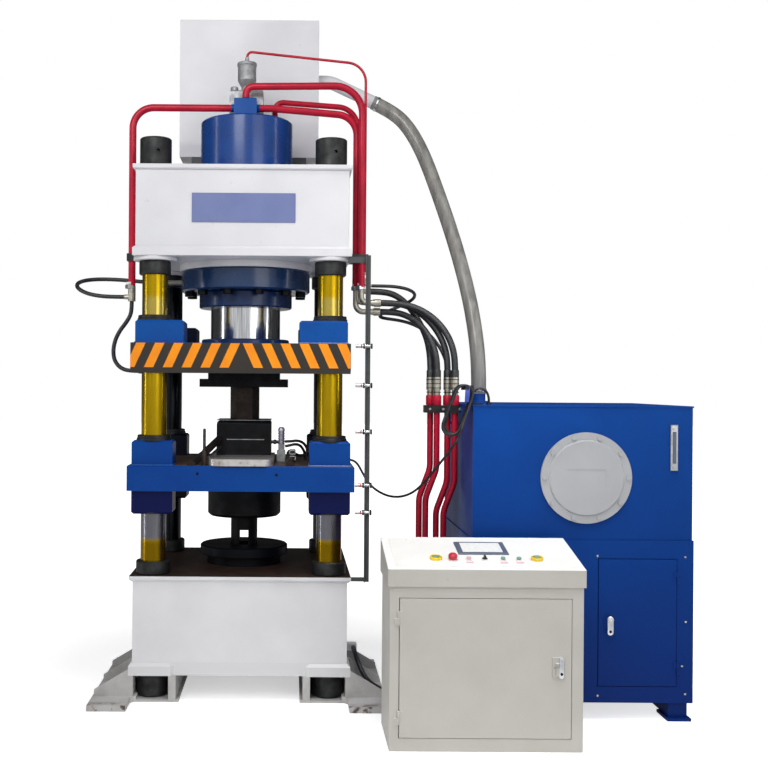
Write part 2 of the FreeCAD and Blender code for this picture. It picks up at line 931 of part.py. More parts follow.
def pressure_pipes():
    left = [
        (-block_width / 2 - 16, block_y, port_height),
        (left_pipe_x, block_y, port_height),
        (left_pipe_x, block_y, pipe_drop),
    ]
    top = block_top + 14
    bridge = block_top + 74
    to_ram = [
        (0, block_y, top),
        (0, block_y, bridge),
        (ram_pipe_x, ram_pipe_y, bridge),
        (ram_pipe_x, ram_pipe_y, pipe_drop),
    ]
    right = [
        (block_width / 2 + 16, block_y, port_height),
        (block_width / 2 + 80, block_y, port_height),
        (right_pipe_x, right_pipe_y, port_height - 34),
        (right_pipe_x, right_pipe_y, pipe_drop),
    ]
    rear = [
        (155, rear_pipe_y, barrel_top),
        (155, rear_pipe_y, barrel_top + 92),
        (rear_pipe_x, rear_pipe_y, barrel_top + 60),
        (rear_pipe_x, rear_pipe_y, rear_pipe_drop),
    ]
    nipple_top = bell_top + nipple_height
    pilot = [
        (0, bell_y, nipple_top),
        (0, bell_y, nipple_top + 34),
        (pilot_pipe_x, pilot_pipe_y, nipple_top - 60),
        (pilot_pipe_x, pilot_pipe_y, pilot_pipe_drop),
    ]
    return [
        bent_pipe(left, pipe_dia, pipe_bend),
        swept(rounded_path(to_ram, [44, pipe_bend + 40]), pipe_dia),
        bent_pipe(right, pipe_dia, pipe_bend),
        swept(rounded_path(rear, [44, pipe_bend]), rear_pipe_dia),
        swept(rounded_path(pilot, [26, pipe_bend]), pilot_pipe_dia),
    ]


# ---- moving crosshead, ram tooling ----


def bosses(outer, width, depth, low, high):
    """Blocks round the columns, with their outer sides that far from the press axis."""
    pieces = []
    for x, y in column_places:
        xs = sorted((math.copysign(outer, x), math.copysign(outer - width, x)))
        pieces.append(block(xs[0], xs[1], y - depth / 2, y + depth / 2, low, high))
    return pieces


def moving_crosshead():
    w = slide_half_width
    plate = block(-w, w, -half_depth, half_depth, slide_bottom, slide_top)
    top = slide_top + slide_boss_height
    caps = [
        bevelled(b, boss_bevel, "z", top)
        for b in bosses(w - slide_boss_set_in, slide_boss_width, slide_boss_depth, slide_top, top)
    ]
    strip_low = slide_bottom - slide_edge_strip
    strip = block(-w, w, -half_depth, -half_depth + 20, strip_low, slide_bottom)
    port_low = slide_bottom - 28
    port = block(slide_port_x, slide_port_x + 40, slide_port_y - 20, slide_port_y + 20, port_low, slide_bottom)
    body = fused([plate, strip, port] + caps)
    return body.cut(column_bores(bush_bore_dia, strip_low - 1, top + 1))


def guide_bushes(low, boss_top):
    """Flanged bushes: a sleeve in the boss and a black wiper ring on top of it."""
    outer = (bush_bore_dia - fit_gap) / 2
    inner = column_dia / 2 + sliding_gap
    ring = bush_dia / 2
    high = boss_top + bush_height
    profile = [
        (inner, low),
        (outer, low),
        (outer, boss_top),
        (ring, boss_top),
        (ring, boss_top + bush_lip),
        (ring - 4, boss_top + bush_lip + 4),
        (ring - 4, high - 3),
        (ring - 7, high),
        (inner, high),
    ]
    return [turned(profile, x, y) for x, y in column_places]


def die_holder():
    w = holder_plate_width / 2
    low = slide_bottom - holder_plate_thick
    upper = block(-w, w, -w, w, low, slide_bottom)
    p = punch_plate_width / 2
    lower = block(-p, p, -w, w, punch_plate_bottom, low)
    return [upper, lower]


def upper_punch():
    w = punch_width / 2
    c = punch_bevel
    low = punch_plate_bottom - punch_length
    outline = []
    for sx, sy in ((1, 1), (-1, 1), (-1, -1), (1, -1)):
        a = (sx * w, sy * (w - c), low)
        b = (sx * (w - c), sy * w, low)
        outline += [a, b] if sx * sy > 0 else [b, a]
    return prism(outline, (0, 0, punch_length))


# ---- die table and lifting cylinder ----


def die_table():
    w = table_half_width
    plate = block(-w, w, -half_depth, half_depth, table_bottom, table_top)
    plate = bevelled(plate, 5, "z", table_top)
    top = table_top + table_boss_height
    outer = (column_span_x + table_boss_width) / 2
    upper = [
        bevelled(b, boss_bevel, "z", top)
        for b in bosses(outer, table_boss_width, table_boss_depth, table_top, top)
    ]
    low = table_bottom - table_under_boss
    lower = [
        bevelled(b, boss_bevel, "z", low)
        for b in bosses(outer, table_boss_width, table_boss_depth, low, table_bottom)
    ]
    start_x, start_y, start_z = table_cable_route[0]
    gland = block(start_x - 48, start_x, start_y - 15, start_y + 15, table_top - 1, start_z + 12)
    body = fused([plate, gland] + upper + lower)
    return body.cut(column_bores(bush_bore_dia, low - 1, top + 1))


def bolster_plates():
    w = die_plate_width / 2
    front = -half_depth - die_plate_nose
    back = front + die_plate_depth
    r = 60
    bend = r * (1 - math.sqrt(0.5))
    z = table_top
    edge = [
        Part.Arc(V(-w, front + r, z), V(-w + bend, front + bend, z), V(-w + r, front, z)).toShape(),
        Part.LineSegment(V(-w + r, front, z), V(w - r, front, z)).toShape(),
        Part.Arc(V(w - r, front, z), V(w - bend, front + bend, z), V(w, front + r, z)).toShape(),
        Part.LineSegment(V(w, front + r, z), V(w, back, z)).toShape(),
        Part.LineSegment(V(w, back, z), V(-w, back, z)).toShape(),
        Part.LineSegment(V(-w, back, z), V(-w, front + r, z)).toShape(),
    ]
    plate = Part.Face(Part.Wire(edge)).extrude(V(0, 0, die_plate_thick))
    back_plate = block(-w, w, back, -back, z, z + die_plate_thick)
    pieces = [plate.fuse(back_plate).removeSplitter()]
    for side in (-1, 1):
        x = side * guide_offset
        outline = [
            (x - guide_width / 2, -half_depth + guide_set_back, z),
            (x + guide_width / 2, -half_depth + guide_set_back, z),
            (x + guide_width / 2, -half_depth + guide_set_back, z + guide_height * 0.4),
            (x + guide_width / 4, -half_depth + guide_set_back, z + guide_height),
            (x - guide_width / 4, -half_depth + guide_set_back, z + guide_height),
            (x - guide_width / 2, -half_depth + guide_set_back, z + guide_height * 0.4),
        ]
        pieces.append(prism(outline, (0, 2 * (half_depth - guide_set_back), 0)))
    return pieces


def die_block():
    w = die_width / 2
    d = die_depth / 2
    low = table_top + die_plate_thick
    high = low + die_height
    body = block(-w, w, -d, d, low, high)
    edges = []
    for edge in body.Edges:
        ends = [v.Point for v in edge.Vertexes]
        if all(abs(e.z - high) < 1e-6 for e in ends):
            edges.append(edge)
    body = body.makeFillet(die_edge_radius, edges)
    c = punch_width / 2 + die_cavity_gap
    return body.cut(block(-c, c, -c, c, low - 1, high + 1))


def lift_rod():
    r = rod_dia / 2
    low = table_bottom - coupling_height
    foot = base_top - lift_barrel_depth + lift_stroke + 40
    c = coupling_dia / 2
    body = turned(
        [
            (0, foot),
            (r, foot),
            (r, low),
            (c - 14, low),
            (c, low + 14),
            (c, table_bottom - 6),
            (c - 6, table_bottom),
            (0, table_bottom),
        ],
        0,
        0,
    )
    top = low - rod_window_top
    w = rod_window_width / 2
    return body.cut(block(-w, w, -r - 1, r + 1, top - rod_window_height, top))


def lower_cylinder():
    bore = rod_dia / 2 + sliding_gap
    spigot_top = base_top + lift_spigot_height
    top = spigot_top + lift_flange_thick
    floor = base_top - lift_barrel_depth
    body = turned(
        [
            (0, floor),
            (lift_barrel_dia / 2, floor),
            (lift_barrel_dia / 2, base_top),
            (lift_spigot_dia / 2, base_top),
            (lift_spigot_dia / 2, spigot_top),
            (lift_flange_dia / 2 - 4, spigot_top),
            (lift_flange_dia / 2, spigot_top + 4),
            (lift_flange_dia / 2, top - 6),
            (lift_flange_dia / 2 - 6, top),
            (bore, top),
            (bore, floor + 30),
            (0, floor + 30),
        ],
        0,
        0,
    )
    return [body]


# ---- sensor rail ----


def sensor_rail():
    """An angle that stands beside the press, with a block at its foot and one at its head."""
    low = base_top - rail_bottom_reach
    high = head_bottom + rail_top_reach
    left = rail_x - rail_size / 2
    right = rail_x + rail_size / 2
    back = -half_depth + rail_size / 2
    front = back - rail_size
    t = rail_thick
    outline = [
        (left, front, low),
        (left + t, front, low),
        (left + t, back - t, low),
        (right, back - t, low),
        (right, back, low),
        (left, back, low),
    ]
    angle = prism(outline, (0, 0, high - low))
    foot = block(base_half_width, left, back - t, back + 20, low + 2, base_top - 2)
    head = block(crosshead_half_width - 18, right, back, back + 22, head_bottom - 30, head_bottom)
    holes = []
    for z in sensor_heights:
        y = (front + back - t) / 2
        holes.append(rod(sensor_dia / 2 + 0.5, (left - 1, y, z), (left + t + 1, y, z)))
    return [angle.cut(holes), foot, head]


def proximity_sensors():
    pieces = []
    left = rail_x - rail_size / 2
    y = -half_depth + rail_size / 2 - rail_thick - (rail_size - rail_thick) / 2
    for z in sensor_heights:
        tip = left + rail_thick + 10 - sensor_length
        barrel = rod(sensor_dia / 2, (tip, y, z), (tip + sensor_length, y, z))
        cap = rod(sensor_dia / 2 - 1.5, (tip + sensor_length, y, z), (tip + sensor_length + 9, y, z))
        nut = prism(
            [
                (left - 6, y + 12 * math.cos(math.radians(a)), z + 12 * math.sin(math.radians(a)))
                for a in range(0, 360, 60)
            ],
            (6, 0, 0),
        )
        pieces.append(fused([barrel, cap, nut]))
    return pieces


# ---- fittings, clamps and floor pipes ----

ferrule_start = base_half_width + 116
ferrule_end = pressure_routes["pressure_hose_1"][0][0]
elbow_dia = 30
floor_pipe_dia = 32
floor_pipe_places = [route[-1][:2] for route in pressure_routes.values()]
floor_pipe_jog = 56
floor_pipe_jog_top = [1100, 1170, 1170, 1100]
floor_pipe_ports = [630, 430, 330, 530]
unit_side_x = unit_left - unit_lower_proud
drain_port_z = 1400


def ferrule(start, end, dia):
    """A crimped sleeve with a hexagon behind it."""
    a = V(*start)
    b = V(*end)
    along = (b - a).normalize()
    length = (b - a).Length
    sleeve = Part.makeCylinder(dia / 2, length * 0.72, a + along * (length * 0.28), along)
    stub = Part.makeCylinder(dia * 0.4, length * 0.28, a, along)
    return sleeve.fuse(stub).removeSplitter()


def elbow(x, y, top, turn_z, end_x, bend, dia):
    """A bent fitting that comes straight down and leaves to the right."""
    return swept(rounded_path([(x, y, top), (x, y, turn_z), (end_x, y, turn_z)], [bend]), dia)


def hose_fittings():
    pieces = []
    # ram pipe to hose 1
    x = ram_pipe_x
    y = ram_pipe_y
    pieces.append(elbow(x, y, pipe_drop, hose_a_z, ferrule_start, 36, elbow_dia))
    pieces.append(ferrule((ferrule_start, y, hose_a_z), (ferrule_end, y, hose_a_z), ferrule_dia))
    # right pipe to hose 2
    x = right_pipe_x
    y = right_pipe_y
    pieces.append(elbow(x, y, pipe_drop, hose_b_z, ferrule_start, 40, elbow_dia))
    pieces.append(ferrule((ferrule_start, y, hose_b_z), (ferrule_end, y, hose_b_z), ferrule_dia))
    # rear pipe to hoses 3 and 4
    x = rear_pipe_x
    y = rear_pipe_y
    upper = elbow(x, y, rear_pipe_drop, hose_c_z, pressure_routes["pressure_hose_3"][0][0], 34, elbow_dia - 4)
    lower = elbow(x, y, rear_pipe_drop, hose_e_z, ferrule_start, 34, elbow_dia - 4)
    pieces.append(upper.fuse(lower).removeSplitter())
    pieces.append(ferrule((ferrule_start, y, hose_e_z), (ferrule_end, y, hose_e_z), ferrule_dia - 4))
    # pilot pipe to the drain hose
    x = pilot_pipe_x
    y = pilot_pipe_y
    z = drain_hose_route[0][2]
    pieces.append(elbow(x, y, pilot_pipe_drop, z, drain_hose_route[0][0], 20, pilot_pipe_dia))
    # left tee
    x = left_pipe_x
    y = block_y
    arm_x, arm_y, arm_z = left_loop_route[0]
    tee = rod(20, crosshead_hose_route[0], (x, y, pipe_drop))
    arm = rod(13, (arm_x, y, arm_z), (x, y, arm_z))
    pieces.append(tee.fuse(arm).removeSplitter())
    # lower ends of the pressure hoses
    for px, py in floor_pipe_places:
        pieces.append(ferrule((px, py, ferrule_top - ferrule_length), (px, py, ferrule_top), ferrule_dia))
    # drain pipe into the power unit
    x, y, z = drain_hose_route[-1]
    pieces.append(elbow(x, y, z, drain_port_z, unit_left, 30, 16))
    # left loop hose port on the cylinder flange
    x, y, z = left_loop_route[-1]
    flange_r = cylinder_flange_dia / 2
    stub = rod(14, (x, y, z), (-flange_r * 0.9, y, z))
    pieces.append(stub.cut(rod(flange_r, (0, 0, z - 20), (0, 0, z + 20))))
    return pieces


hose_bar_low = 1462
hose_bar_height = 38
right_clip_pipes = [
    (right_pipe_x, right_pipe_y, pipe_dia),
    (ram_pipe_x, ram_pipe_y, pipe_dia),
    (rear_pipe_x, rear_pipe_y, rear_pipe_dia),
    (pilot_pipe_x, pilot_pipe_y, pilot_pipe_dia),
]
hook_y = -676
hook_dia = 12


def pipe_clamps():
    pieces = []
    # the bar that holds the hoses' lower ends, bolted to the power unit's side
    xs = [p[0] for p in floor_pipe_places]
    ys = [p[1] for p in floor_pipe_places]
    low = hose_bar_low
    high = low + hose_bar_height
    bar = block(min(xs) - 34, unit_left, min(ys) - 24, max(ys) + 24, low, high)
    holes = [rod(floor_pipe_dia / 2 + 0.15, (x, y, low - 1), (x, y, high + 1)) for x, y in floor_pipe_places]
    pieces.append(bar.cut(holes))
    # the bracket on the power unit's top with its hook for the spare cable
    half = hank_bend / math.sqrt(3)
    inside = hank_straight + 2 * half - 0.9 * half / math.tan(math.radians(30)) * (2 / math.sqrt(3) - 1)
    hook_x, hook_z = hank_point(inside - cable_dia / 2 - fit_gap - hook_dia / 2, 0)
    post_x = unit_left + 8
    arm_low = hook_z - 10
    arm_high = arm_low + 22
    foot = block(post_x, post_x + 54, hook_y, hook_y + 45, unit_top, unit_top + 8)
    post = block(post_x, post_x + 6, hook_y, hook_y + 45, unit_top, arm_high)
    arm = block(hook_x - 12, post_x + 6, hook_y, hook_y + 8, arm_low, arm_high)
    hank_front = table_cable_route[-1][1] - 14
    hook = rod(hook_dia / 2, (hook_x, hank_front, hook_z), (hook_x, hook_y + 4, hook_z))
    stop = rod(hook_dia / 2 + 3, (hook_x, hank_front - 4, hook_z), (hook_x, hank_front, hook_z))
    pieces.append(fused([foot, post, arm, hook, stop]))
    # the gland that takes the far end of the spare cable
    x, y, z = hank_tail[-1]
    pieces.append(rod(12, (x, y, unit_top), (x, y, z)))
    # pipe clips on the upper crosshead's sides
    for side, stops in ((-1, [(left_pipe_x, block_y, pipe_dia)]), (1, right_clip_pipes)):
        face = side * crosshead_half_width
        reach = max(abs(p[0]) + p[2] / 2 + 6 for p in stops)
        xs = sorted((face, side * reach))
        low_y = min(p[1] - p[2] / 2 for p in stops) - 8
        high_y = max(p[1] + p[2] / 2 for p in stops) + 8
        clip = block(xs[0], xs[1], low_y, high_y, head_bottom + 4, head_bottom + 44)
        holes = [rod(p[2] / 2 + 0.15, (p[0], p[1], head_bottom), (p[0], p[1], head_bottom + 60)) for p in stops]
        pieces.append(clip.cut(holes))
    return pieces


def floor_pipes():
    pieces = []
    start = ferrule_top - ferrule_length
    for (x, y), jog_top, port in zip(floor_pipe_places, floor_pipe_jog_top, floor_pipe_ports):
        route = [
            (x, y, start),
            (x, y, jog_top),
            (x - floor_pipe_jog, y, jog_top - 150),
            (x - floor_pipe_jog, y, port),
            (unit_side_x, y, port),
        ]
        pieces.append(swept(rounded_path(route, [150, 150, 60]), floor_pipe_dia))
    return pieces


# ---- power unit ----


def hinge(x, y, middle, face_y, side):
    """A butt hinge on an upright edge. Returns its fixed half, with the pin, and its moving half."""
    r = hinge_dia / 2
    low = middle - hinge_height / 2
    high = middle + hinge_height / 2
    reach = side * 18
    xs = sorted((x, x + reach))
    fixed_leaf = block(xs[0], xs[1], y, face_y, low, middle - 0.5)
    fixed = rod(r, (x, y, low), (x, y, middle - 0.5))
    pin = rod(r * 0.5, (x, y, middle - 1), (x, y, high - 3))
    xs = sorted((x, x - reach))
    moving_leaf = block(xs[0], xs[1], y, face_y, middle + 0.5, high)
    moving = rod(r, (x, y, middle + 0.5), (x, y, high))
    moving = moving.fuse(moving_leaf).cut(rod(r * 0.5 + 0.3, (x, y, middle), (x, y, high - 2.5)))
    return fused([fixed, fixed_leaf, pin]), moving


def power_unit_tank():
    x0 = unit_left
    x1 = unit_left + unit_width
    y0 = unit_front
    y1 = unit_front + unit_depth
    t = unit_sheet
    lid_low = unit_top - unit_top_lip
    outer = block(x0, x1, y0, y1, unit_seam, lid_low)
    lip = block(x0 - 4, x1 + 4, y0 - 4, y1 + 4, lid_low, unit_top)
    inner = block(x0 + t, x1 - t, y0 + t, y1 - t, unit_seam + t, lid_low - t)
    stub_x = fill_route[-1][0]
    stub_y = fill_route[-1][1]
    stub_top = fill_route[-1][2]
    stub = rod(fill_hose_dia / 2 - 4, (stub_x, stub_y, unit_top), (stub_x, stub_y, stub_top))
    flange = rod(fill_hose_dia / 2 + 16, (stub_x, stub_y, unit_top), (stub_x, stub_y, unit_top + 10))
    return fused([outer.cut(inner), lip, flange, stub])


def power_unit_cabinet():
    p = unit_lower_proud
    t = unit_sheet
    x0 = unit_left - p
    x1 = unit_left + unit_width + p
    y0 = unit_front - p
    y1 = unit_front + unit_depth + p
    shell = block(x0, x1, y0, y1, unit_bottom, unit_seam)
    shell = shell.cut(block(x0 + t, x1 - t, y0 + t, y1 - t, unit_bottom + t, unit_seam - t))
    opening = block(unit_door_left, unit_door_right, y0 - 1, y0 + t + 1, unit_door_low, unit_door_high)
    parts = [shell.cut(opening)]
    for x in (x0 + unit_leg_inset, x1 - unit_leg_inset):
        w = unit_leg_width / 2
        parts.append(block(x - w, x + w, y0 + 20, y1 - 20, unit_foot_thick, unit_bottom))
        for y in (y0 - 8, y1 + 8 - unit_foot_length):
            parts.append(block(x - w - 12, x + w + 12, y, y + unit_foot_length, 0, unit_foot_thick))
    for z in (unit_door_low + 90, unit_door_high - 90):
        parts.append(hinge(unit_hinge_x, unit_hinge_y, z, y0, 1)[0])
    bed_low = unit_bottom + t
    parts.append(block(motor_x - 130, motor_x + 130, motor_y - 200, motor_y + 260, bed_low, bed_low + 40))
    return fused(parts)


unit_leg_inset = 66
unit_hinge_x = unit_door_right + 2
unit_hinge_y = unit_front - unit_lower_proud - hinge_dia / 2 - 1
motor_x = unit_left + unit_width / 2
motor_y = unit_front + unit_depth / 2
motor_axis_z = unit_bottom + unit_sheet + 40 + motor_dia / 2 + 12


def power_unit_door():
    g = door_gap
    y0 = unit_front - unit_lower_proud - 3
    x0 = unit_door_left + g
    x1 = unit_door_right - g
    z0 = unit_door_low + g
    z1 = unit_door_high - g
    pan = block(x0, x1, y0, y0 + door_thick, z0, z1)
    pan = pan.cut(block(x0 + 3, x1 - 3, y0 + 3, y0 + door_thick + 1, z0 + 3, z1 - 3))
    parts = [pan]
    for z in (unit_door_low + 90, unit_door_high - 90):
        moving = hinge(unit_hinge_x, unit_hinge_y, z, y0, 1)[1]
        parts.append(moving)
    lock_x = unit_door_left + unit_lock_inset
    lock_z = unit_lock_height
    plate = rod(19, (lock_x, y0 - 5, lock_z + 26), (lock_x, y0, lock_z + 26))
    lower = rod(19, (lock_x, y0 - 5, lock_z - 26), (lock_x, y0, lock_z - 26))
    bridge = block(lock_x - 19, lock_x + 19, y0 - 5, y0, lock_z - 26, lock_z + 26)
    grip = block(lock_x - 9, lock_x + 9, y0 - 12, y0 - 5, lock_z - 30, lock_z + 22)
    return fused(parts + [plate, lower, bridge, grip])


def tank_cover():
    """Round bolted cover: a flat ring, a slightly raised face and a bare recessed plate."""
    y = unit_front
    r = cover_dia / 2
    face_r = r - cover_ring_width
    centre = V(cover_x, y, cover_z)
    out = V(0, -1, 0)
    ring = Part.makeCylinder(r, cover_ring_thick, centre, out)
    face = Part.makeCone(face_r, face_r - 6, cover_dome, centre + out * cover_ring_thick, out)
    body = ring.fuse(face).removeSplitter()
    w = cover_recess_width / 2
    h = cover_recess_height / 2
    top_y = y - cover_ring_thick - cover_dome
    body = body.cut(block(cover_x - w, cover_x + w, top_y - 1, top_y + 2, cover_z - h, cover_z + h))
    heads = []
    bolt_r = r - cover_ring_width / 2
    across = cover_bolt_across / math.sqrt(3)
    for i in range(cover_bolt_count):
        a = math.radians(360 * i / cover_bolt_count)
        cx = cover_x + bolt_r * math.cos(a)
        cz = cover_z + bolt_r * math.sin(a)
        outline = []
        for j in range(6):
            b = math.radians(60 * j)
            outline.append((cx + across * math.cos(b), y - cover_ring_thick, cz + across * math.sin(b)))
        heads.append(prism(outline, (0, -cover_bolt_head, 0)))
    return [body] + heads


def level_gauge():
    """Sight glass strip with two bolted end blocks."""
    w = gauge_width / 2
    y = unit_front
    frame = block(gauge_x - w, gauge_x + w, y - gauge_proud, y, gauge_low, gauge_high)
    frame = bevelled(frame, 3, "y", y - gauge_proud)
    slot = block(gauge_x - w / 2, gauge_x + w / 2, y - gauge_proud - 1, y - gauge_proud + 5,
                 gauge_low + 36, gauge_high - 36)
    heads = [rod(8, (gauge_x, y - gauge_proud - 5, z), (gauge_x, y - gauge_proud, z))
             for z in (gauge_low + 18, gauge_high - 18)]
    return [frame.cut(slot)] + heads


def pump_set():
    """Electric motor, bell housing and pump on one axis, front to back, on the cabinet's bed."""
    z = motor_axis_z
    y0 = motor_y - 120
    y1 = y0 + motor_length
    motor = rod(motor_dia / 2, (motor_x, y0, z), (motor_x, y1, z))
    cowl = rod(motor_dia / 2 - 8, (motor_x, y1, z), (motor_x, y1 + 50, z))
    box = block(motor_x + 40, motor_x + motor_dia / 2 + 40, y0 + 90, y0 + 200, z + 20, z + 100)
    bed = motor_axis_z - motor_dia / 2 - 12
    foot = block(motor_x - 110, motor_x + 110, y0 + 40, y1 - 40, bed, z - motor_dia / 2 + 30)
    motor_piece = fused([motor, cowl, box, foot])
    bell_start = y0 - bell_housing_length
    bell = Part.makeCone(pump_dia / 2 - 5, bell_housing_dia / 2, bell_housing_length,
                         V(motor_x, bell_start, z), V(0, 1, 0))
    pump_start = bell_start - pump_length
    body = rod(pump_dia / 2, (motor_x, pump_start, z), (motor_x, bell_start, z))
    port = rod(24, (motor_x, pump_start + 60, z), (motor_x, pump_start + 60, z + pump_dia / 2 + 30))
    return [motor_piece, bell, fused([body, port])]


# ---- console ----

console_right = console_left + console_width
console_back = console_front + console_depth
panel_slope = (console_back_top - console_lip_top) / console_depth
panel_length = math.hypot(console_depth, console_back_top - console_lip_top)


def console_outline(grow, low, top_drop):
    """The console's side view: upright front and back with a sloped top."""
    y0 = console_front - grow
    y1 = console_back + grow
    top0 = console_lip_top - grow * panel_slope - top_drop
    top1 = console_back_top + grow * panel_slope - top_drop
    return y0, y1, low, top0, top1


def wedge(x0, x1, y0, y1, low, top0, top1):
    return prism([(x0, y0, low), (x0, y1, low), (x0, y1, top1), (x0, y0, top0)], (x1 - x0, 0, 0))


def console_cabinet():
    t = console_sheet
    y0, y1, low, top0, top1 = console_outline(0, 0, 0)
    outer = wedge(console_left, console_right, y0, y1, low, top0, top1)
    p = console_lip_proud
    ly0, ly1, lip_low, ltop0, ltop1 = console_outline(p, console_seam, 0)
    lip = wedge(console_left - p, console_right + p, ly0, ly1, lip_low, ltop0, ltop1)
    iy0, iy1, ilow, itop0, itop1 = console_outline(-t, t, t)
    inner = wedge(console_left + t, console_right - t, iy0, iy1, ilow, itop0, itop1)
    i = lid_inset + 12
    hatch = on_panel(block(console_left + i, console_right - i, i, panel_length - i, -30, 10))
    door = block(console_door_left, console_door_right, console_front - 1, console_front + t + 1,
                 console_door_low, console_door_high)
    shell = fused([outer, lip]).cut([inner, hatch, door])
    parts = [shell]
    for z in console_hinge_heights:
        parts.append(hinge(console_hinge_x, console_hinge_y, z, console_front, -1)[0])
    gland = rod(20, (console_cable_route[0][0], console_back + 14, console_cable_route[0][2]),
                (console_cable_route[0][0], console_back, console_cable_route[0][2]))
    parts.append(gland)
    return fused(parts)


console_hinge_heights = (console_door_low + 90, console_door_high - 90)
console_hinge_x = console_door_left - 2
console_hinge_y = console_front - hinge_dia / 2 - 1


def console_door():
    g = door_gap
    y0 = console_front - 3
    x0 = console_door_left + g
    x1 = console_door_right - g
    z0 = console_door_low + g
    z1 = console_door_high - g
    pan = block(x0, x1, y0, y0 + door_thick, z0, z1)
    pan = pan.cut(block(x0 + 3, x1 - 3, y0 + 3, y0 + door_thick + 1, z0 + 3, z1 - 3))
    parts = [pan]
    for z in console_hinge_heights:
        moving = hinge(console_hinge_x, console_hinge_y, z, y0, -1)[1]
        parts.append(moving)
    lock_x = console_door_right - console_lock_inset
    lock_z = console_lock_height
    parts.append(block(lock_x - 24, lock_x + 24, y0 - 6, y0, lock_z - 46, lock_z + 46))
    grip = block(lock_x - 12, lock_x + 12, y0 - lock_proud, y0 - 6, lock_z - 34, lock_z + 22)
    parts.append(bevelled(grip, 3, "y", y0 - lock_proud))
    return fused(parts)


def console_lid():
    """Sloped control panel: a sheet with a skirt below, back hinges, raised bezels and stem holes."""
    i = lid_inset
    t = lid_sheet
    x0 = console_left + i
    x1 = console_right - i
    s0 = i
    s1 = panel_length - i
    sheet = block(x0, x1, s0, s1, 0, t)
    k = 14
    skirt = block(x0 + k, x1 - k, s0 + k, s1 - k, -lid_skirt, 0)
    skirt = skirt.cut(block(x0 + k + 2, x1 - k - 2, s0 + k + 2, s1 - k - 2, -lid_skirt - 1, 0))
    parts = [sheet, skirt]
    holes = []
    for x, dia in stations:
        parts.append(Part.makeCylinder(bezel_of[dia] / 2, bezel_thick, V(x, button_row, t)))
        holes.append(Part.makeCylinder(stem_dia / 2 + 1, 60, V(x, button_row, -30)))
    for x in (x0 + 110, x1 - 110):
        parts.append(rod(5, (x - 30, s1 + 5, t + 2), (x - 0.5, s1 + 5, t + 2)))
        parts.append(block(x - 30, x - 0.5, s1 - 18, s1 + 5, t, t + 2))
    return on_panel(fused(parts).cut(holes))


stations = [
    (start_left_x, start_dia),
    (stop_x, stop_dia + 1),
    (push_1_x, push_dia),
    (selector_x, push_dia + 1),
    (push_2_x, push_dia),
    (push_3_x, push_dia),
    (start_right_x, start_dia),
]
bezel_of = {start_dia: 54, stop_dia + 1: 44, push_dia: bezel_dia, push_dia + 1: bezel_dia}


def touch_panel():
    w = touch_width / 2
    t = lid_sheet
    body = block(touch_centre_x - w, touch_centre_x + w, touch_near, touch_near + touch_depth, t, t + touch_proud)
    body = bevelled(body, 3, "z", t + touch_proud)
    m = 18
    screen = block(touch_centre_x - w + m, touch_centre_x + w - m, touch_near + m,
                   touch_near + touch_depth - m, t + touch_proud - 1, t + touch_proud + 1)
    return on_panel(body.cut(screen))


def button(x, cap_dia, cap_height, travel, dome):
    base = lid_sheet + bezel_thick + travel + 1
    stem = Part.makeCylinder(stem_dia / 2, base + stem_length, V(x, button_row, -stem_length))
    profile = [
        (0, base),
        (cap_dia / 2, base),
        (cap_dia / 2, base + cap_height - dome),
        (cap_dia / 2 - dome, base + cap_height),
        (0, base + cap_height),
    ]
    return on_panel(turned(profile, x, button_row).fuse(stem).removeSplitter())


def selector_knob():
    t = lid_sheet + bezel_thick + 0.5
    x = selector_x
    disc = Part.makeCylinder(12, 5, V(x, button_row, t))
    grip = block(x - 4, x + 4, button_row - 13, button_row + 13, t + 5, t + 17)
    stem = Part.makeCylinder(stem_dia / 2, t + stem_length, V(x, button_row, -stem_length))
    return on_panel(fused([disc, grip, stem]))


def control_panel():
    """Mounting plate on the console's back wall with a controller, relays and a terminal strip."""
    y = console_back - console_sheet
    face = y - panel_thick
    left = console_left + panel_inset
    right = console_right - panel_inset
    pieces = [block(left, right, face, y, panel_low, panel_high)]
    first = left + device_inset
    upper = panel_low + 350
    pieces.append(block(first, first + 180, face - 70, face, upper, upper + 150))
    pieces.append(block(first + 220, first + 320, face - 60, face, upper, upper + 150))
    for i in range(4):
        x = first + 360 + i * relay_pitch
        pieces.append(block(x, x + relay_pitch - 6, face - 80, face, upper, upper + 90))
    middle = panel_low + 150
    for i in range(3):
        x = first + i * contactor_pitch
        pieces.append(block(x, x + contactor_pitch - 20, face - 80, face, middle, middle + 110))
    strip = panel_low + 50
    pieces.append(block(first, right - device_inset, face - 45, face, strip, strip + 50))
    return pieces


# ---- every piece, by its name ----

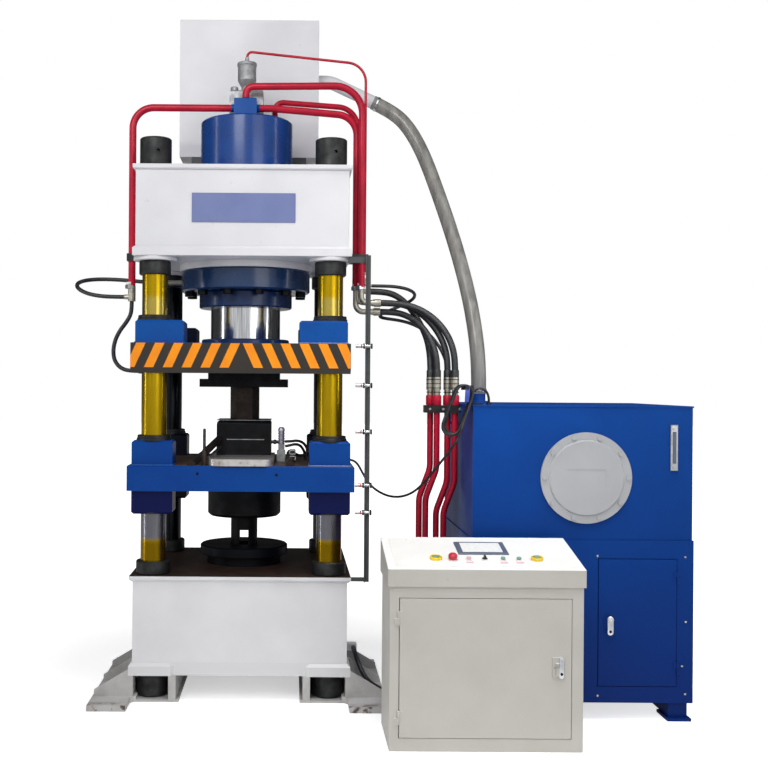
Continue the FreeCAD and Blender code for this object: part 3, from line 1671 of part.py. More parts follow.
table_low = table_bottom - table_under_boss
table_boss_top = table_top + table_boss_height
slide_boss_top = slide_top + slide_boss_height
pieces = {
    "base_frame": base_frame(),
    "feet": foot(-1) + foot(1),
    "columns": columns(),
    "column_nuts": column_nuts(),
    "upper_crosshead": upper_crosshead(),
    "main_cylinder": [main_cylinder()],
    "cylinder_rings": cylinder_rings(),
    "cylinder_bolts": cylinder_bolts(),
    "prefill_valve": [prefill_valve()],
    "valve_block": [valve_block()],
    "overhead_tank": [overhead_tank()],
    "tank_stand": tank_stand(),
    "tank_pipes": tank_pipes(),
    "pressure_pipes": pressure_pipes(),
    "pipe_clamps": pipe_clamps(),
    "hose_fittings": hose_fittings(),
    "floor_pipes": floor_pipes(),
    "sensor_rail": sensor_rail(),
    "proximity_sensors": proximity_sensors(),
    "lower_cylinder": lower_cylinder(),
    "moving_crosshead": [moving_crosshead()],
    "crosshead_bushes": guide_bushes(slide_bottom, slide_boss_top),
    "ram": [ram()],
    "ram_flange": [ram_flange()],
    "die_holder": die_holder(),
    "upper_punch": [upper_punch()],
    "die_table": [die_table()],
    "table_bushes": guide_bushes(table_low, table_boss_top),
    "bolster_plates": bolster_plates(),
    "die_block": [die_block()],
    "lift_rod": [lift_rod()],
    "power_unit_tank": [power_unit_tank()],
    "power_unit_cabinet": [power_unit_cabinet()],
    "power_unit_door": [power_unit_door()],
    "tank_cover": tank_cover(),
    "level_gauge": level_gauge(),
    "pump_set": pump_set(),
    "console_cabinet": [console_cabinet()],
    "console_door": [console_door()],
    "console_lid": [console_lid()],
    "touch_panel": [touch_panel()],
    "start_button_left": [button(start_left_x, 28, 8, 4, 2)],
    "start_button_right": [button(start_right_x, 28, 8, 4, 2)],
    "emergency_stop": [button(stop_x, stop_dia, 20, 5, 7)],
    "push_button_1": [button(push_1_x, push_dia, 6, 3, 2)],
    "push_button_2": [button(push_2_x, push_dia, 6, 3, 2)],
    "push_button_3": [button(push_3_x, push_dia, 6, 3, 2)],
    "selector_knob": [selector_knob()],
    "control_panel": control_panel(),
    "drain_hose": [hose("drain_hose", drain_hose_route, drain_hose_dia)],
    "left_loop_hose": [hose("left_loop_hose", left_loop_route, small_hose_dia)],
    "crosshead_hose": [hose("crosshead_hose", crosshead_hose_route, small_hose_dia)],
    "fill_hose": [hose("fill_hose", fill_route, fill_hose_dia)],
    "console_cable": [hose("console_cable", console_cable_route, console_cable_dia)],
    "table_cable": [hose("table_cable", table_cable_route, cable_dia)],
    "cable_hank": [hose("cable_hank", cable_hank(), cable_dia)],
}
for name, route in pressure_routes.items():
    pieces[name] = [hose(name, route, hose_dia)]
for name, solids in pieces.items():
    save(name, solids)
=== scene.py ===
import math

import bmesh
import bpy
from mathutils import Matrix, Vector


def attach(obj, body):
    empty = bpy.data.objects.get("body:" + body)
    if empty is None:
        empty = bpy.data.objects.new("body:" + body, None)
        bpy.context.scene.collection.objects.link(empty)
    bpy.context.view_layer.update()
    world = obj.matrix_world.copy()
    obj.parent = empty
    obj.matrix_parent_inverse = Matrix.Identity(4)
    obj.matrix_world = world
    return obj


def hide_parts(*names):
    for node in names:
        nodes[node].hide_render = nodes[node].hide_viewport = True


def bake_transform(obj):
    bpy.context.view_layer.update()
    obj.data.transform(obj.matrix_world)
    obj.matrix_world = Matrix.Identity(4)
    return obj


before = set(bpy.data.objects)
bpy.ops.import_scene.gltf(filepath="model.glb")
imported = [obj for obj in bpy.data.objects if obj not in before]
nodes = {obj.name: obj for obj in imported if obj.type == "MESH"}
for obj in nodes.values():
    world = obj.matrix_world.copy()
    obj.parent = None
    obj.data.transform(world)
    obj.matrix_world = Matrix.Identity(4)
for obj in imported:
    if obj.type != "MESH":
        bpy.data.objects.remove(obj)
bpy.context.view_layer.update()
scene = bpy.context.scene
mm = 0.001
print("frame loaded:", len(nodes), "nodes")

cameraSetup = {
    "place": (0.246, -6.035, 1.6),
    "pixelFocal": 1100,      # focal length in pixels of the 768 wide picture
    "frame": 768,
    "axisPixel": (290, 385),  # where the optical axis meets the picture
    "roll": -0.4,
    "sensor": 36,
}


def addCamera(look):
    data = bpy.data.cameras.new("pressCamera")
    camera = bpy.data.objects.new("pressCamera", data)
    scene.collection.objects.link(camera)
    data.sensor_width = look["sensor"]
    data.lens = look["sensor"] * look["pixelFocal"] / look["frame"]
    middle = look["frame"] / 2
    data.shift_x = (middle - look["axisPixel"][0]) / look["frame"]
    data.shift_y = (look["axisPixel"][1] - middle) / look["frame"]
    data.clip_end = 100
    camera.location = look["place"]
    level = Matrix.Rotation(math.radians(90), 3, "X")
    camera.rotation_mode = "QUATERNION"
    tilt = Matrix.Rotation(math.radians(look["roll"]), 3, "Y")
    camera.rotation_quaternion = (tilt @ level).to_quaternion()
    scene.camera = camera


addCamera(cameraSetup)
print("camera placed")


def toLinear(code):  # sRGB hex to the linear colour that a shader takes
    parts = [int(code[i : i + 2], 16) / 255 for i in (0, 2, 4)]
    return tuple(v / 12.92 if v <= 0.04045 else ((v + 0.055) / 1.055) ** 2.4 for v in parts) + (1.0,)


def perMetre(sizeMm):  # a texture scale from the size of one feature
    return 1000 / sizeMm


def feed(tree, node, inputs):  # values, sockets or whole nodes into a node's inputs
    for key, value in inputs.items():
        if isinstance(value, bpy.types.Node):
            value = value.outputs[2 if value.type == "MIX" else 0]
        if isinstance(value, bpy.types.NodeSocket):
            tree.links.new(value, node.inputs[key])
        else:
            node.inputs[key].default_value = value


def addNode(tree, kind, inputs, **settings):  # a shader node with its inputs and settings
    node = tree.nodes.new("ShaderNode" + kind)
    for name, value in settings.items():
        setattr(node, name, value)
    feed(tree, node, inputs)
    return node


def newFinish(name):  # an empty finish: its tree, its shader and the place in metres
    material = bpy.data.materials.new(name)
    material.use_nodes = True
    tree = material.node_tree
    place = addNode(tree, "TexCoord", {}).outputs["Object"]
    return material, tree, tree.nodes["Principled BSDF"], place


def patches(tree, place, sizeMm, detail, low, high, most=1.0):  # a cloudy pattern, and where it shows
    pattern = addNode(tree, "TexNoise", {"Vector": place, "Scale": perMetre(sizeMm), "Detail": detail})
    levels = {"Value": pattern, "From Min": low, "From Max": high, "To Max": most}
    return pattern, addNode(tree, "MapRange", levels)


def roughSkin(tree, place, sizeMm, depthMm):  # fine bumps of one size and depth
    grain = addNode(tree, "TexNoise", {"Vector": place, "Scale": perMetre(sizeMm), "Detail": 2})
    return addNode(tree, "Bump", {"Height": grain, "Distance": depthMm * mm})


def layered(tree, code, layers):  # a hex colour with further ones laid over it, each by its own share
    tone = toLinear(code)
    for share, cover in layers:
        tone = addNode(tree, "Mix", {0: share, 6: tone, 7: toLinear(cover)}, data_type="RGBA")
    return tone


# the share of painted shade behind the press's middle
def behind(tree, place):  # grows from nothing at the press's middle to all at 0.2 m behind it
    depth = addNode(tree, "SeparateXYZ", {0: place}).outputs[1]
    return addNode(tree, "MapRange", {"Value": depth, "From Min": 0, "From Max": 0.2})


def upward(tree):  # all on faces that look up, nothing on the others
    normal = addNode(tree, "NewGeometry", {}).outputs["Normal"]
    facing = addNode(tree, "SeparateXYZ", {0: normal}).outputs[2]
    return addNode(tree, "MapRange", {"Value": facing, "From Min": 0.8, "From Max": 0.9})


# Sprayed machine enamel on plate: soft gloss with faint orange peel, a cloudy tone and a little grime.
# Some are darker below a height (painted shade on the cabinet and the red pipes, the flange's own navy on the
# barrel), darker behind the press's middle (painted shade) or lighter on faces that look up (painted light).
def sprayedEnamel(name, look):
    material, tree, shader, place = newFinish(name)
    cloud = patches(tree, place, look["cloudMm"], 3, 0.35, 0.65)[1]
    layers = [(cloud, look["shade"])]
    # a lower tone below a height: painted shade on the cabinet and the red pipes, the flange's own navy on
    # the barrel
    if "fall" in look:
        height = addNode(tree, "SeparateXYZ", {0: place}).outputs[2]
        low, high = look["fall"]
        fall = addNode(tree, "MapRange", {"Value": height, "From Min": high, "From Max": low})
        layers.append((fall, look["low"]))
    # painted shade: darker behind the press's middle
    if "rear" in look:
        layers.append((behind(tree, place), look["rear"]))
    # painted light: lighter on faces that look up
    if "top" in look:
        layers.append((upward(tree), look["top"]))
    grime = patches(tree, place, look["grimeMm"], 6, look["grimeFrom"], 0.85, 0.6)[1]
    gloss = addNode(
        tree, "MapRange",
        {"Value": cloud, "To Min": look["roughness"] - 0.04, "To Max": look["roughness"] + 0.05},
    )
    feed(tree, shader, {
        "Base Color": layered(tree, look["colour"], layers + [(grime, look["grime"])]), "Roughness": gloss,
        "Normal": roughSkin(tree, place, look["peelMm"], look["peelDepthMm"]),
        "Specular IOR Level": look["shine"], "Coat Weight": look["coat"], "Coat Roughness": 0.12,
    })
    return material


# peel is drawn 2 to 3.5 mm wide, coarser than the real millimetre, so that it shows
enamelUsual = dict(
    cloudMm=120, grimeMm=22, grimeFrom=0.62, roughness=0.45, peelMm=3, peelDepthMm=0.08, coat=0.1, shine=0.35,
)
enamelLook = {
    "tankWhite": dict(colour="E2E2E6", shade="DBDBDF", grime="B9B6B2", cloudMm=260, grimeMm=38,
                      grimeFrom=0.68, roughness=0.42),
    # royalBlue: darker behind the press's middle, painted shade
    "royalBlue": dict(colour="0A4E9C", shade="084793", grime="04336F", cloudMm=180, grimeMm=25,
                      roughness=0.36, coat=0.03, shine=0.16, rear="081634"),
    "barrelBlue": dict(colour="10448E", shade="0D3B80", grime="0A2C62", roughness=0.26, peelDepthMm=0.05,
                       coat=0.25, shine=0.3, fall=(2.22, 2.26), low="1C3860"),
    "navyBlue": dict(colour="1B3764", shade="172F59", grime="0D1A36", grimeFrom=0.6, roughness=0.28,
                     peelDepthMm=0.05, coat=0.15, shine=0.25),
    "blackBlue": dict(colour="090C13", shade="07090F", grime="120F0E", grimeFrom=0.6, roughness=0.42,
                      peelDepthMm=0.05, coat=0.0, shine=0.12),
    # cabinetBlue: the lower tone is painted shade, darker towards the bottom
    "cabinetBlue": dict(colour="064496", shade="053F8D", grime="042F74", cloudMm=300, grimeMm=30,
                        grimeFrom=0.66, roughness=0.44, peelMm=3.5, peelDepthMm=0.1, coat=0.0,
                        shine=0.12, fall=(0.1, 1.4), low="02266A"),
    # crimson: the lower tone is painted shade, darker towards the bottom
    "crimson": dict(colour="C41836", shade="AE1430", grime="5A0A18", cloudMm=90, grimeMm=18, roughness=0.32,
                    peelDepthMm=0.06, shine=0.2, fall=(0.4, 1.46), low="7A0C24"),
    # consolePutty: faces that look up are painted as light as the lid, painted light
    "consolePutty": dict(colour="C1BEB8", shade="BBB8B1", grime="A39F95", cloudMm=210, grimeMm=24,
                         grimeFrom=0.68, roughness=0.48, peelMm=2.2, peelDepthMm=0.07, coat=0.05,
                         top="F3F2EF"),
    "consoleTop": dict(colour="F3F2EF", shade="ECEBE7", grime="CFCCC4", cloudMm=210, grimeMm=24,
                       grimeFrom=0.72, peelMm=2.2, peelDepthMm=0.07, coat=0.05),
    "coverGrey": dict(colour="AEB0B3", shade="A9ABAF", grime="94969A", cloudMm=160, grimeMm=20,
                      grimeFrom=0.74, peelDepthMm=0.1),
    "railGrey": dict(colour="4A4C4E", shade="434547", grime="2C2D2F", cloudMm=70, grimeMm=16,
                     grimeFrom=0.6, roughness=0.5, peelMm=2.5, coat=0.05),
    "plateBlue": dict(colour="727DAD", shade="6C77A8", grime="5D6899", grimeMm=20, grimeFrom=0.66,
                      roughness=0.4, peelDepthMm=0.04),
    "signalOrange": dict(colour="FF9A08", shade="F78F06", grime="C46A10", cloudMm=80, grimeMm=14,
                         grimeFrom=0.68, peelMm=2.5, peelDepthMm=0.03, coat=0.0),
    "stripeBlack": dict(colour="2E2822", shade="28231E", grime="4A4038", cloudMm=80, grimeMm=14,
                        grimeFrom=0.66, peelMm=2.5, peelDepthMm=0.03, coat=0.0),
}
enamels = {key: sprayedEnamel(key + "Enamel", {**enamelUsual, **look}) for key, look in enamelLook.items()}


# Bare or blackened steel: metallic, rubbed brighter in patches, with fine tool marks. They lie in level
# rings, along X on the bolster plates, and without a direction on castings.
def agedSteel(name, look):
    material, tree, shader, place = newFinish(name)
    rubbed = patches(tree, place, look["patchMm"], 5, 0.4, 0.7)[1]
    stain = patches(tree, place, look["stainMm"], 6, look["stainFrom"], 0.8)[1]
    layers = [(rubbed, look["rubbed"]), (stain, look["stain"])]
    if "outer" in look:  # the rails beside the middle plate are darker
        across = addNode(tree, "SeparateXYZ", {0: place}).outputs[0]
        offset = addNode(tree, "Math", {0: across}, operation="ABSOLUTE")
        outside = addNode(tree, "MapRange", {"Value": offset, "From Min": 0.2, "From Max": 0.205})
        layers.append((outside, look["outer"]))
    gloss = addNode(
        tree, "MapRange",
        {"Value": rubbed, "To Min": look["roughness"] + 0.1, "To Max": look["roughness"]},
    )
    stretched = addNode(tree, "Mapping", {"Vector": place, "Scale": look["markStretch"]})
    feed(tree, shader, {
        "Base Color": layered(tree, look["colour"], layers), "Roughness": gloss,
        "Normal": roughSkin(tree, stretched, look["markMm"], look["markDepthMm"]),
        "Metallic": look["metallic"], "Specular IOR Level": look["shine"],
    })
    return material


steelUsual = dict(markMm=2.5, markDepthMm=0.04, markStretch=(1, 1, 3), shine=0.5)
steelLook = {
    "blackened": dict(colour="242526", rubbed="3A3B3B", stain="191614", patchMm=60, stainMm=20,
                      stainFrom=0.6, roughness=0.42, metallic=0.6, markMm=4, markDepthMm=0.05,
                      markStretch=(1, 1, 4)),
    "toolBlack": dict(colour="0C0D10", rubbed="17181B", stain="08090A", patchMm=60, stainMm=20,
                      stainFrom=0.62, roughness=0.42, metallic=0.15, shine=0.15, markMm=4),
    "punch": dict(colour="2A211E", rubbed="3A312D", stain="1A1412", patchMm=70, stainMm=14,
                  stainFrom=0.56, roughness=0.36, metallic=0.5, shine=0.25, markMm=3, markDepthMm=0.05,
                  markStretch=(1, 1, 6)),
    "bright": dict(colour="BBBDBF", rubbed="DADCDE", stain="95928E", patchMm=40, stainMm=12,
                   stainFrom=0.68, roughness=0.24, metallic=1.0, markDepthMm=0.03, markStretch=(1, 1, 5)),
    "bolster": dict(colour="B9B2AC", rubbed="DFDDDC", stain="6E5F56", patchMm=70, stainMm=30,
                    stainFrom=0.58, roughness=0.3, metallic=0.75, markMm=3, markDepthMm=0.03,
                    markStretch=(1, 4, 1), outer="33261F"),
    "zinc": dict(colour="A9A598", rubbed="C9C5B8", stain="746C5E", patchMm=25, stainMm=9,
                 stainFrom=0.6, roughness=0.34, metallic=0.85),
    "casting": dict(colour="8F9193", rubbed="B3B5B7", stain="5E5F60", patchMm=35, stainMm=10,
                    stainFrom=0.58, roughness=0.45, metallic=0.6, markDepthMm=0.15,
                    markStretch=(1, 1, 1)),
    "lilacZinc": dict(colour="A7A3B4", rubbed="C6C3D2", stain="6D6878", patchMm=15, stainMm=6,
                      stainFrom=0.62, roughness=0.32, metallic=0.8),
    "chrome": dict(colour="D4D6DA", rubbed="E6E8EC", stain="A8AAB0", patchMm=20, stainMm=8,
                   stainFrom=0.7, roughness=0.16, metallic=1.0, markDepthMm=0.01),
}
steels = {key: agedSteel(key + "Steel", {**steelUsual, **look}) for key, look in steelLook.items()}


# Moulded plastic or rubber: one even colour with a fine grain and a slightly worn sheen.
def moulded(name, look):
    material, tree, shader, place = newFinish(name)
    worn = patches(tree, place, look["wornMm"], 4, 0.4, 0.7)[1]
    rough = look["roughness"]
    sheen = addNode(tree, "MapRange", {"Value": worn, "To Min": rough, "To Max": rough + 0.12})
    feed(tree, shader, {
        "Base Color": layered(tree, look["colour"], [(worn, look["worn"])]), "Roughness": sheen,
        "Normal": roughSkin(tree, place, look["grainMm"], look["grainDepthMm"]),
    })
    return material


plasticUsual = dict(wornMm=8, roughness=0.35, grainMm=2.2, grainDepthMm=0.02)
plasticLook = {
    "hoseRubber": dict(colour="222326", worn="323337", wornMm=30, roughness=0.42, grainMm=2.5,
                       grainDepthMm=0.12),
    "cableSheath": dict(colour="16161A", worn="2A2A30", wornMm=20, roughness=0.32, grainMm=2.5,
                        grainDepthMm=0.05),
    "blackPlastic": dict(colour="1B1C1E", worn="28292B", wornMm=15, grainDepthMm=0.04),
    "slatePlastic": dict(colour="566172", worn="5F6A7B", wornMm=30, roughness=0.4, grainDepthMm=0.04),
    "yellowPlastic": dict(colour="F2CE10", worn="E8C408", wornMm=12, roughness=0.3),
    "tealPlastic": dict(colour="7FA694", worn="75998A", roughness=0.34),
    "redPlastic": dict(colour="C4283C", worn="B52235", roughness=0.3),
    "rosePlastic": dict(colour="E2B9C4", worn="D8AEBA", roughness=0.4),
    "whitePlastic": dict(colour="EDEDEA", worn="E2E2DE", wornMm=15, roughness=0.38),
    "blueNylon": dict(colour="3B53B4", worn="2F449C", wornMm=10, grainDepthMm=0.04),
}
plastics = {key: moulded(key, {**plasticUsual, **look}) for key, look in plasticLook.items()}


# Hard-chromed column under a yellow preservative film: mirror-like and streaked, thin above the crosshead,
# wiped bare under the table, and nearly black on the two rear columns.
def filmedChrome(name, look):
    material, tree, shader, place = newFinish(name)
    depth, height = addNode(tree, "SeparateXYZ", {0: place}).outputs[1:3]
    stretched = addNode(tree, "Mapping", {"Vector": place, "Scale": look["stretch"]})
    streak, strong = patches(tree, stretched, look["streakMm"], 4, 0.3, 0.75)
    layers = [(strong, look["deep"])]
    level = addNode(tree, "Math", {0: streak, 1: look["frayed"], 2: height}, operation="MULTIPLY_ADD")
    for low, high, colour, share in look["zones"]:
        rise = {"Value": level, "From Min": low, "From Max": low + 0.02}
        end = {"Value": level, "From Min": high, "From Max": high - 0.03, "To Max": share}
        above = addNode(tree, "MapRange", rise)
        below = addNode(tree, "MapRange", end)
        layers.append((addNode(tree, "Math", {0: above, 1: below}, operation="MULTIPLY"), colour))
    rear = addNode(tree, "MapRange", {"Value": depth, "From Min": -0.05, "From Max": 0.05})
    gloss = addNode(
        tree, "MapRange",
        {"Value": streak, "From Min": 0.3, "From Max": 0.7, "To Min": 0.16, "To Max": 0.3},
    )
    feed(tree, shader, {
        "Base Color": layered(tree, look["film"], layers + [(rear, look["oiled"])]), "Roughness": gloss,
        "Normal": addNode(tree, "Bump", {"Height": streak, "Distance": look["streakDepthMm"] * mm}),
        "Metallic": 0.92,
    })
    return material


filmChrome = filmedChrome("filmedChrome", {
    "film": "BC9C12", "deep": "A08204", "oiled": "1E2024", "streakMm": 14, "streakDepthMm": 0.03,
    "stretch": (1, 1, 0.08), "frayed": 0.006,
    "zones": [(0.5, 0.82, "8A6D04", 1.0), (0.805, 0.99, "7C7C84", 1.0), (1.94, 2.06, "B4A860", 0.6),
              (2.6, 3.3, "232427", 1.0)],
})


# Ground and polished ram: near mirror, with fine lengthwise grinding lines.
def groundRam(name, look):
    material, tree, shader, place = newFinish(name)
    stretched = addNode(tree, "Mapping", {"Vector": place, "Scale": look["stretch"]})
    line, dull = patches(tree, stretched, look["lineMm"], 4, 0.35, 0.7)
    feed(tree, shader, {
        "Base Color": layered(tree, look["ground"], [(dull, look["dull"])]),
        "Roughness": addNode(tree, "MapRange", {"Value": dull, "To Min": 0.1, "To Max": 0.22}),
        "Normal": addNode(tree, "Bump", {"Height": line, "Distance": look["lineDepthMm"] * mm}),
        "Metallic": 1.0,
    })
    return material


ramSteel = groundRam("groundRamSteel", {
    "ground": "D2D3D6", "dull": "8F9195", "lineMm": 7, "lineDepthMm": 0.05, "stretch": (1, 1, 0.03),
})


# Flexible grey PVC suction hose: satin, with soft lighter and darker streaks along its length that are
# painted reflection streaks.
def greyTube(name, look):
    material, tree, shader, place = newFinish(name)
    stretched = addNode(tree, "Mapping", {"Vector": place, "Scale": look["stretch"]})
    # painted reflection streaks along the hose
    share = patches(tree, stretched, look["streakMm"], 3, 0.35, 0.68)[1]
    feed(tree, shader, {
        "Base Color": layered(tree, look["colour"], [(share, look["streak"])]),
        "Normal": roughSkin(tree, place, look["grainMm"], look["grainDepthMm"]),
        "Roughness": 0.36, "Coat Weight": 0.25,
    })
    return material


pvcGrey = greyTube("greyPvcTube", {
    # the darker streaks stand for reflection streaks: painted reflection
    "colour": "9A9892", "streak": "787672", "streakMm": 32, "stretch": (1, 1, 0.1), "grainMm": 8,
    "grainDepthMm": 0.1,
})


# Painted plate whose top face is bare: enamel on the sides, another tone low down (painted shade under the
# table), painted shade behind the press's middle where given, oily brown steel on top.
def toppedPaint(name, look):
    material, tree, shader, place = newFinish(name)
    height = addNode(tree, "SeparateXYZ", {0: place}).outputs[2]
    low, top = look["under"], look["topAt"]
    # below this height another tone: painted shade under the table, a slightly darker band on the base
    under = addNode(tree, "MapRange", {"Value": height, "From Min": low, "From Max": low - 0.004})
    cloud = patches(tree, place, look["cloudMm"], 3, 0.35, 0.65)[1]
    layers = [(cloud, look["shade"]), (under, look["underTone"])]
    # painted shade: darker behind the press's middle
    if "rear" in look:
        layers.append((behind(tree, place), look["rear"]))
    blotch = patches(tree, place, look["blotchMm"], 6, 0.35, 0.65)[1]
    oily = layered(tree, look["top"], [(blotch, look["topDark"])])
    offTop = addNode(tree, "Math", {0: height, 1: top}, operation="SUBTRACT")
    near = addNode(tree, "Math", {0: offTop}, operation="ABSOLUTE")
    level = addNode(tree, "MapRange", {"Value": near, "From Min": 0.003, "From Max": 0.002})
    isTop = addNode(tree, "Math", {0: upward(tree), 1: level}, operation="MULTIPLY")
    tones = {0: isTop, 6: layered(tree, look["paint"], layers), 7: oily}
    feed(tree, shader, {
        "Base Color": addNode(tree, "Mix", tones, data_type="RGBA"),
        "Roughness": addNode(
            tree, "MapRange", {"Value": isTop, "To Min": look["roughness"], "To Max": 0.5}
        ),
        "Metallic": addNode(tree, "MapRange", {"Value": isTop, "To Max": 0.3}),
        "Normal": roughSkin(tree, place, look["peelMm"], look["peelDepthMm"]),
        "Specular IOR Level": look["shine"],
    })
    return material


toppedUsual = dict(cloudMm=220, blotchMm=60, peelMm=3, peelDepthMm=0.08)
toppedLook = {
    "basePaint": dict(paint="E2E2E5", shade="DCDCDF", underTone="DADADC", under=0.2, top="453229",
                      topDark="2E221C", topAt=0.632, roughness=0.42, shine=0.35),
    # tablePaint: the dark tone under the table is painted shade, and so is the darkening behind the press's
    # middle
    "tablePaint": dict(paint="064290", shade="053C8A", underTone="040F47", under=1.058, top="6A574F",
                       topDark="4A3C37", topAt=1.19, roughness=0.36, shine=0.16, rear="0A1020"),
}
topped = {key: toppedPaint(key, {**toppedUsual, **look}) for key, look in toppedLook.items()}


# Pale paint on the feet, trodden and stained: painted shade darkening them towards the back, even grey dirt,
# and dark oil and a little rust mostly at the front ends.
def wornFootPaint(name, look):
    material, tree, shader, place = newFinish(name)
    depth = addNode(tree, "SeparateXYZ", {0: place}).outputs[1]
    # painted shade: the feet darken towards the back, under the base
    far = addNode(tree, "MapRange", {"Value": depth, "From Min": -0.5, "From Max": 0.1})
    frontEnds = {"Value": depth, "From Min": -0.6, "From Max": -0.66, "To Min": 0.06}
    ends = addNode(tree, "MapRange", frontEnds)
    dusty, dust = patches(tree, place, look["dustMm"], 4, 0.42, 0.66, 0.5)
    spots = patches(tree, place, look["oilMm"], 5, 0.52, 0.6)[1]
    rusty = patches(tree, place, look["rustMm"], 5, 0.63, 0.68)[1]
    oil = addNode(tree, "Math", {0: spots, 1: ends}, operation="MULTIPLY")
    rust = addNode(tree, "Math", {0: rusty, 1: ends}, operation="MULTIPLY")
    layers = [(far, look["far"]), (dust, look["dust"]), (oil, look["oil"]), (rust, look["rust"])]
    feed(tree, shader, {
        "Base Color": layered(tree, look["paint"], layers),
        "Roughness": addNode(tree, "MapRange", {"Value": oil, "To Min": 0.55, "To Max": 0.36}),
        "Normal": addNode(tree, "Bump", {"Height": dusty, "Distance": look["dustDepthMm"] * mm}),
    })
    return material


footPaint = wornFootPaint("wornFootPaint", {
    # the far tone is painted shade towards the back
    "paint": "BDBCBB", "far": "9A9998", "dust": "94918E", "oil": "55443E", "rust": "B07A3C",
    "dustMm": 140, "dustDepthMm": 0.2, "oilMm": 46, "rustMm": 24,
})

finishOfNodes = [
    (topped["basePaint"], ["base_frame"]),
    (topped["tablePaint"], ["die_table"]),
    (footPaint, ["feet"]),
    (filmChrome, ["columns"]),
    (ramSteel, ["ram"]),
    (enamels["tankWhite"], ["upper_crosshead", "overhead_tank", "tank_pipes"]),
    (enamels["barrelBlue"], ["main_cylinder"]),
    (enamels["navyBlue"], ["cylinder_rings", "ram_flange"]),
    (enamels["blackBlue"], ["cylinder_bolts", "lower_cylinder"]),
    (enamels["royalBlue"], ["valve_block", "moving_crosshead"]),
    (enamels["railGrey"], ["tank_stand", "sensor_rail"]),
    (enamels["crimson"], ["pressure_pipes", "floor_pipes"]),
    (enamels["cabinetBlue"], ["power_unit_tank", "power_unit_cabinet", "power_unit_door"]),
    (enamels["coverGrey"], ["tank_cover", "pump_set"]),
    (enamels["consolePutty"], ["console_cabinet", "console_door"]),
    (enamels["consoleTop"], ["console_lid"]),
    (steels["blackened"], ["column_nuts", "pipe_clamps", "crosshead_bushes", "table_bushes"]),
    (steels["casting"], ["prefill_valve"]),
    (steels["zinc"], ["hose_fittings"]),
    (steels["bright"], ["proximity_sensors", "level_gauge", "control_panel"]),
    (steels["toolBlack"], ["die_holder", "lift_rod", "die_block"]),
    (steels["punch"], ["upper_punch"]),
    (steels["bolster"], ["bolster_plates"]),
    (plastics["slatePlastic"], ["touch_panel"]),
    (plastics["tealPlastic"], ["start_button_left", "start_button_right", "push_button_2", "push_button_3"]),
    (plastics["redPlastic"], ["emergency_stop"]),
    (plastics["rosePlastic"], ["push_button_1"]),
    (plastics["blackPlastic"], ["selector_knob"]),
]
for finish, nodeNames in finishOfNodes:
    for nodeName in nodeNames:
        nodes[nodeName].data.materials.clear()
        nodes[nodeName].data.materials.append(finish)
print("finishes made:", len(bpy.data.materials))

edgeBreaks = {  # width in millimetres of the broken edge that each plate piece gets
    "base_frame": 3, "upper_crosshead": 3, "overhead_tank": 3, "moving_crosshead": 2.5, "die_table": 2.5,
    "power_unit_tank": 2.5, "power_unit_cabinet": 2, "power_unit_door": 1.5, "console_cabinet": 2.5,
    "console_door": 1.5, "die_block": 1.5, "die_holder": 1.5, "upper_punch": 2.5, "feet": 2,
}


def breakEdges(node, widthMm):  # doubled points are welded first, so that faces share their edges
    weld = node.modifiers.new("weld", "WELD")
    weld.merge_threshold = 0.01 * mm
    bevel = node.modifiers.new("edges", "BEVEL")
    bevel.width = widthMm * mm
    bevel.segments = 2
    bevel.limit_method = "ANGLE"
    bevel.angle_limit = math.radians(50)
    bevel.harden_normals = True


for nodeName, width in edgeBreaks.items():
    breakEdges(nodes[nodeName], width)
print("edges broken:", len(edgeBreaks))


def addPiece(name, mesh, finish, body):
    piece = bpy.data.objects.new(name, mesh)
    scene.collection.objects.link(piece)
    mesh.materials.append(finish)
    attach(piece, body)
    return piece


crispAngle = 35  # degrees between two faces from which their edge stays crisp
upright, forward = (0, 0, 1), (0, -1, 0)


def keepShape(name, shape, finish, body):  # a finished shape becomes a piece
    bmesh.ops.recalc_face_normals(shape, faces=shape.faces)
    for face in shape.faces:
        face.smooth = True
    mesh = bpy.data.meshes.new(name)
    shape.to_mesh(mesh)
    shape.free()
    mesh.set_sharp_from_angle(angle=math.radians(crispAngle))
    return addPiece(name, mesh, finish, body)


def addBox(shape, low, high, edge):  # a block between two corners in millimetres, its edges eased
    made = bmesh.ops.create_cube(shape, size=1)["verts"]
    middle = (Vector(low) + Vector(high)) / 2
    size = Vector(high) - Vector(low)
    for vert in made:
        vert.co = Vector([middle[k] + vert.co[k] * size[k] for k in range(3)]) * mm
    edges = list({line for vert in made for line in vert.link_edges})
    bmesh.ops.bevel(shape, geom=edges, offset=edge * mm, segments=2, affect="EDGES", clamp_overlap=True)


def addBoxSet(name, boxes, finish, body):  # each box is its low corner, high corner and eased edge
    shape = bmesh.new()
    for low, high, edge in boxes:
        addBox(shape, low, high, edge)
    keepShape(name, shape, finish, body)


def joinRings(shape, rings):  # faces between each ring of points and the next
    for first, second in zip(rings, rings[1:]):
        for k in range(len(first)):
            shape.faces.new((first[k - 1], first[k], second[k], second[k - 1]))


def capEnds(shape, rings):
    shape.faces.new(rings[0])
    shape.faces.new(rings[-1])


def circle(centre, across, beside, radius, turns):  # points round a centre at the given angles
    return [centre + (across * math.cos(t) + beside * math.sin(t)) * radius for t in turns]


def addTurned(shape, start, along, outline, sides=28):  # the outline pairs a radius with a distance along
    axis = Vector(along).normalized()
    across = axis.orthogonal().normalized()
    beside = axis.cross(across)
    turns = [2 * math.pi * (k + 0.5) / sides for k in range(sides)]
    rings = []
    for radius, distance in outline:
        points = circle(Vector(start) + axis * distance, across, beside, radius, turns)
        rings.append([shape.verts.new(point * mm) for point in points])
    joinRings(shape, rings)
    return rings


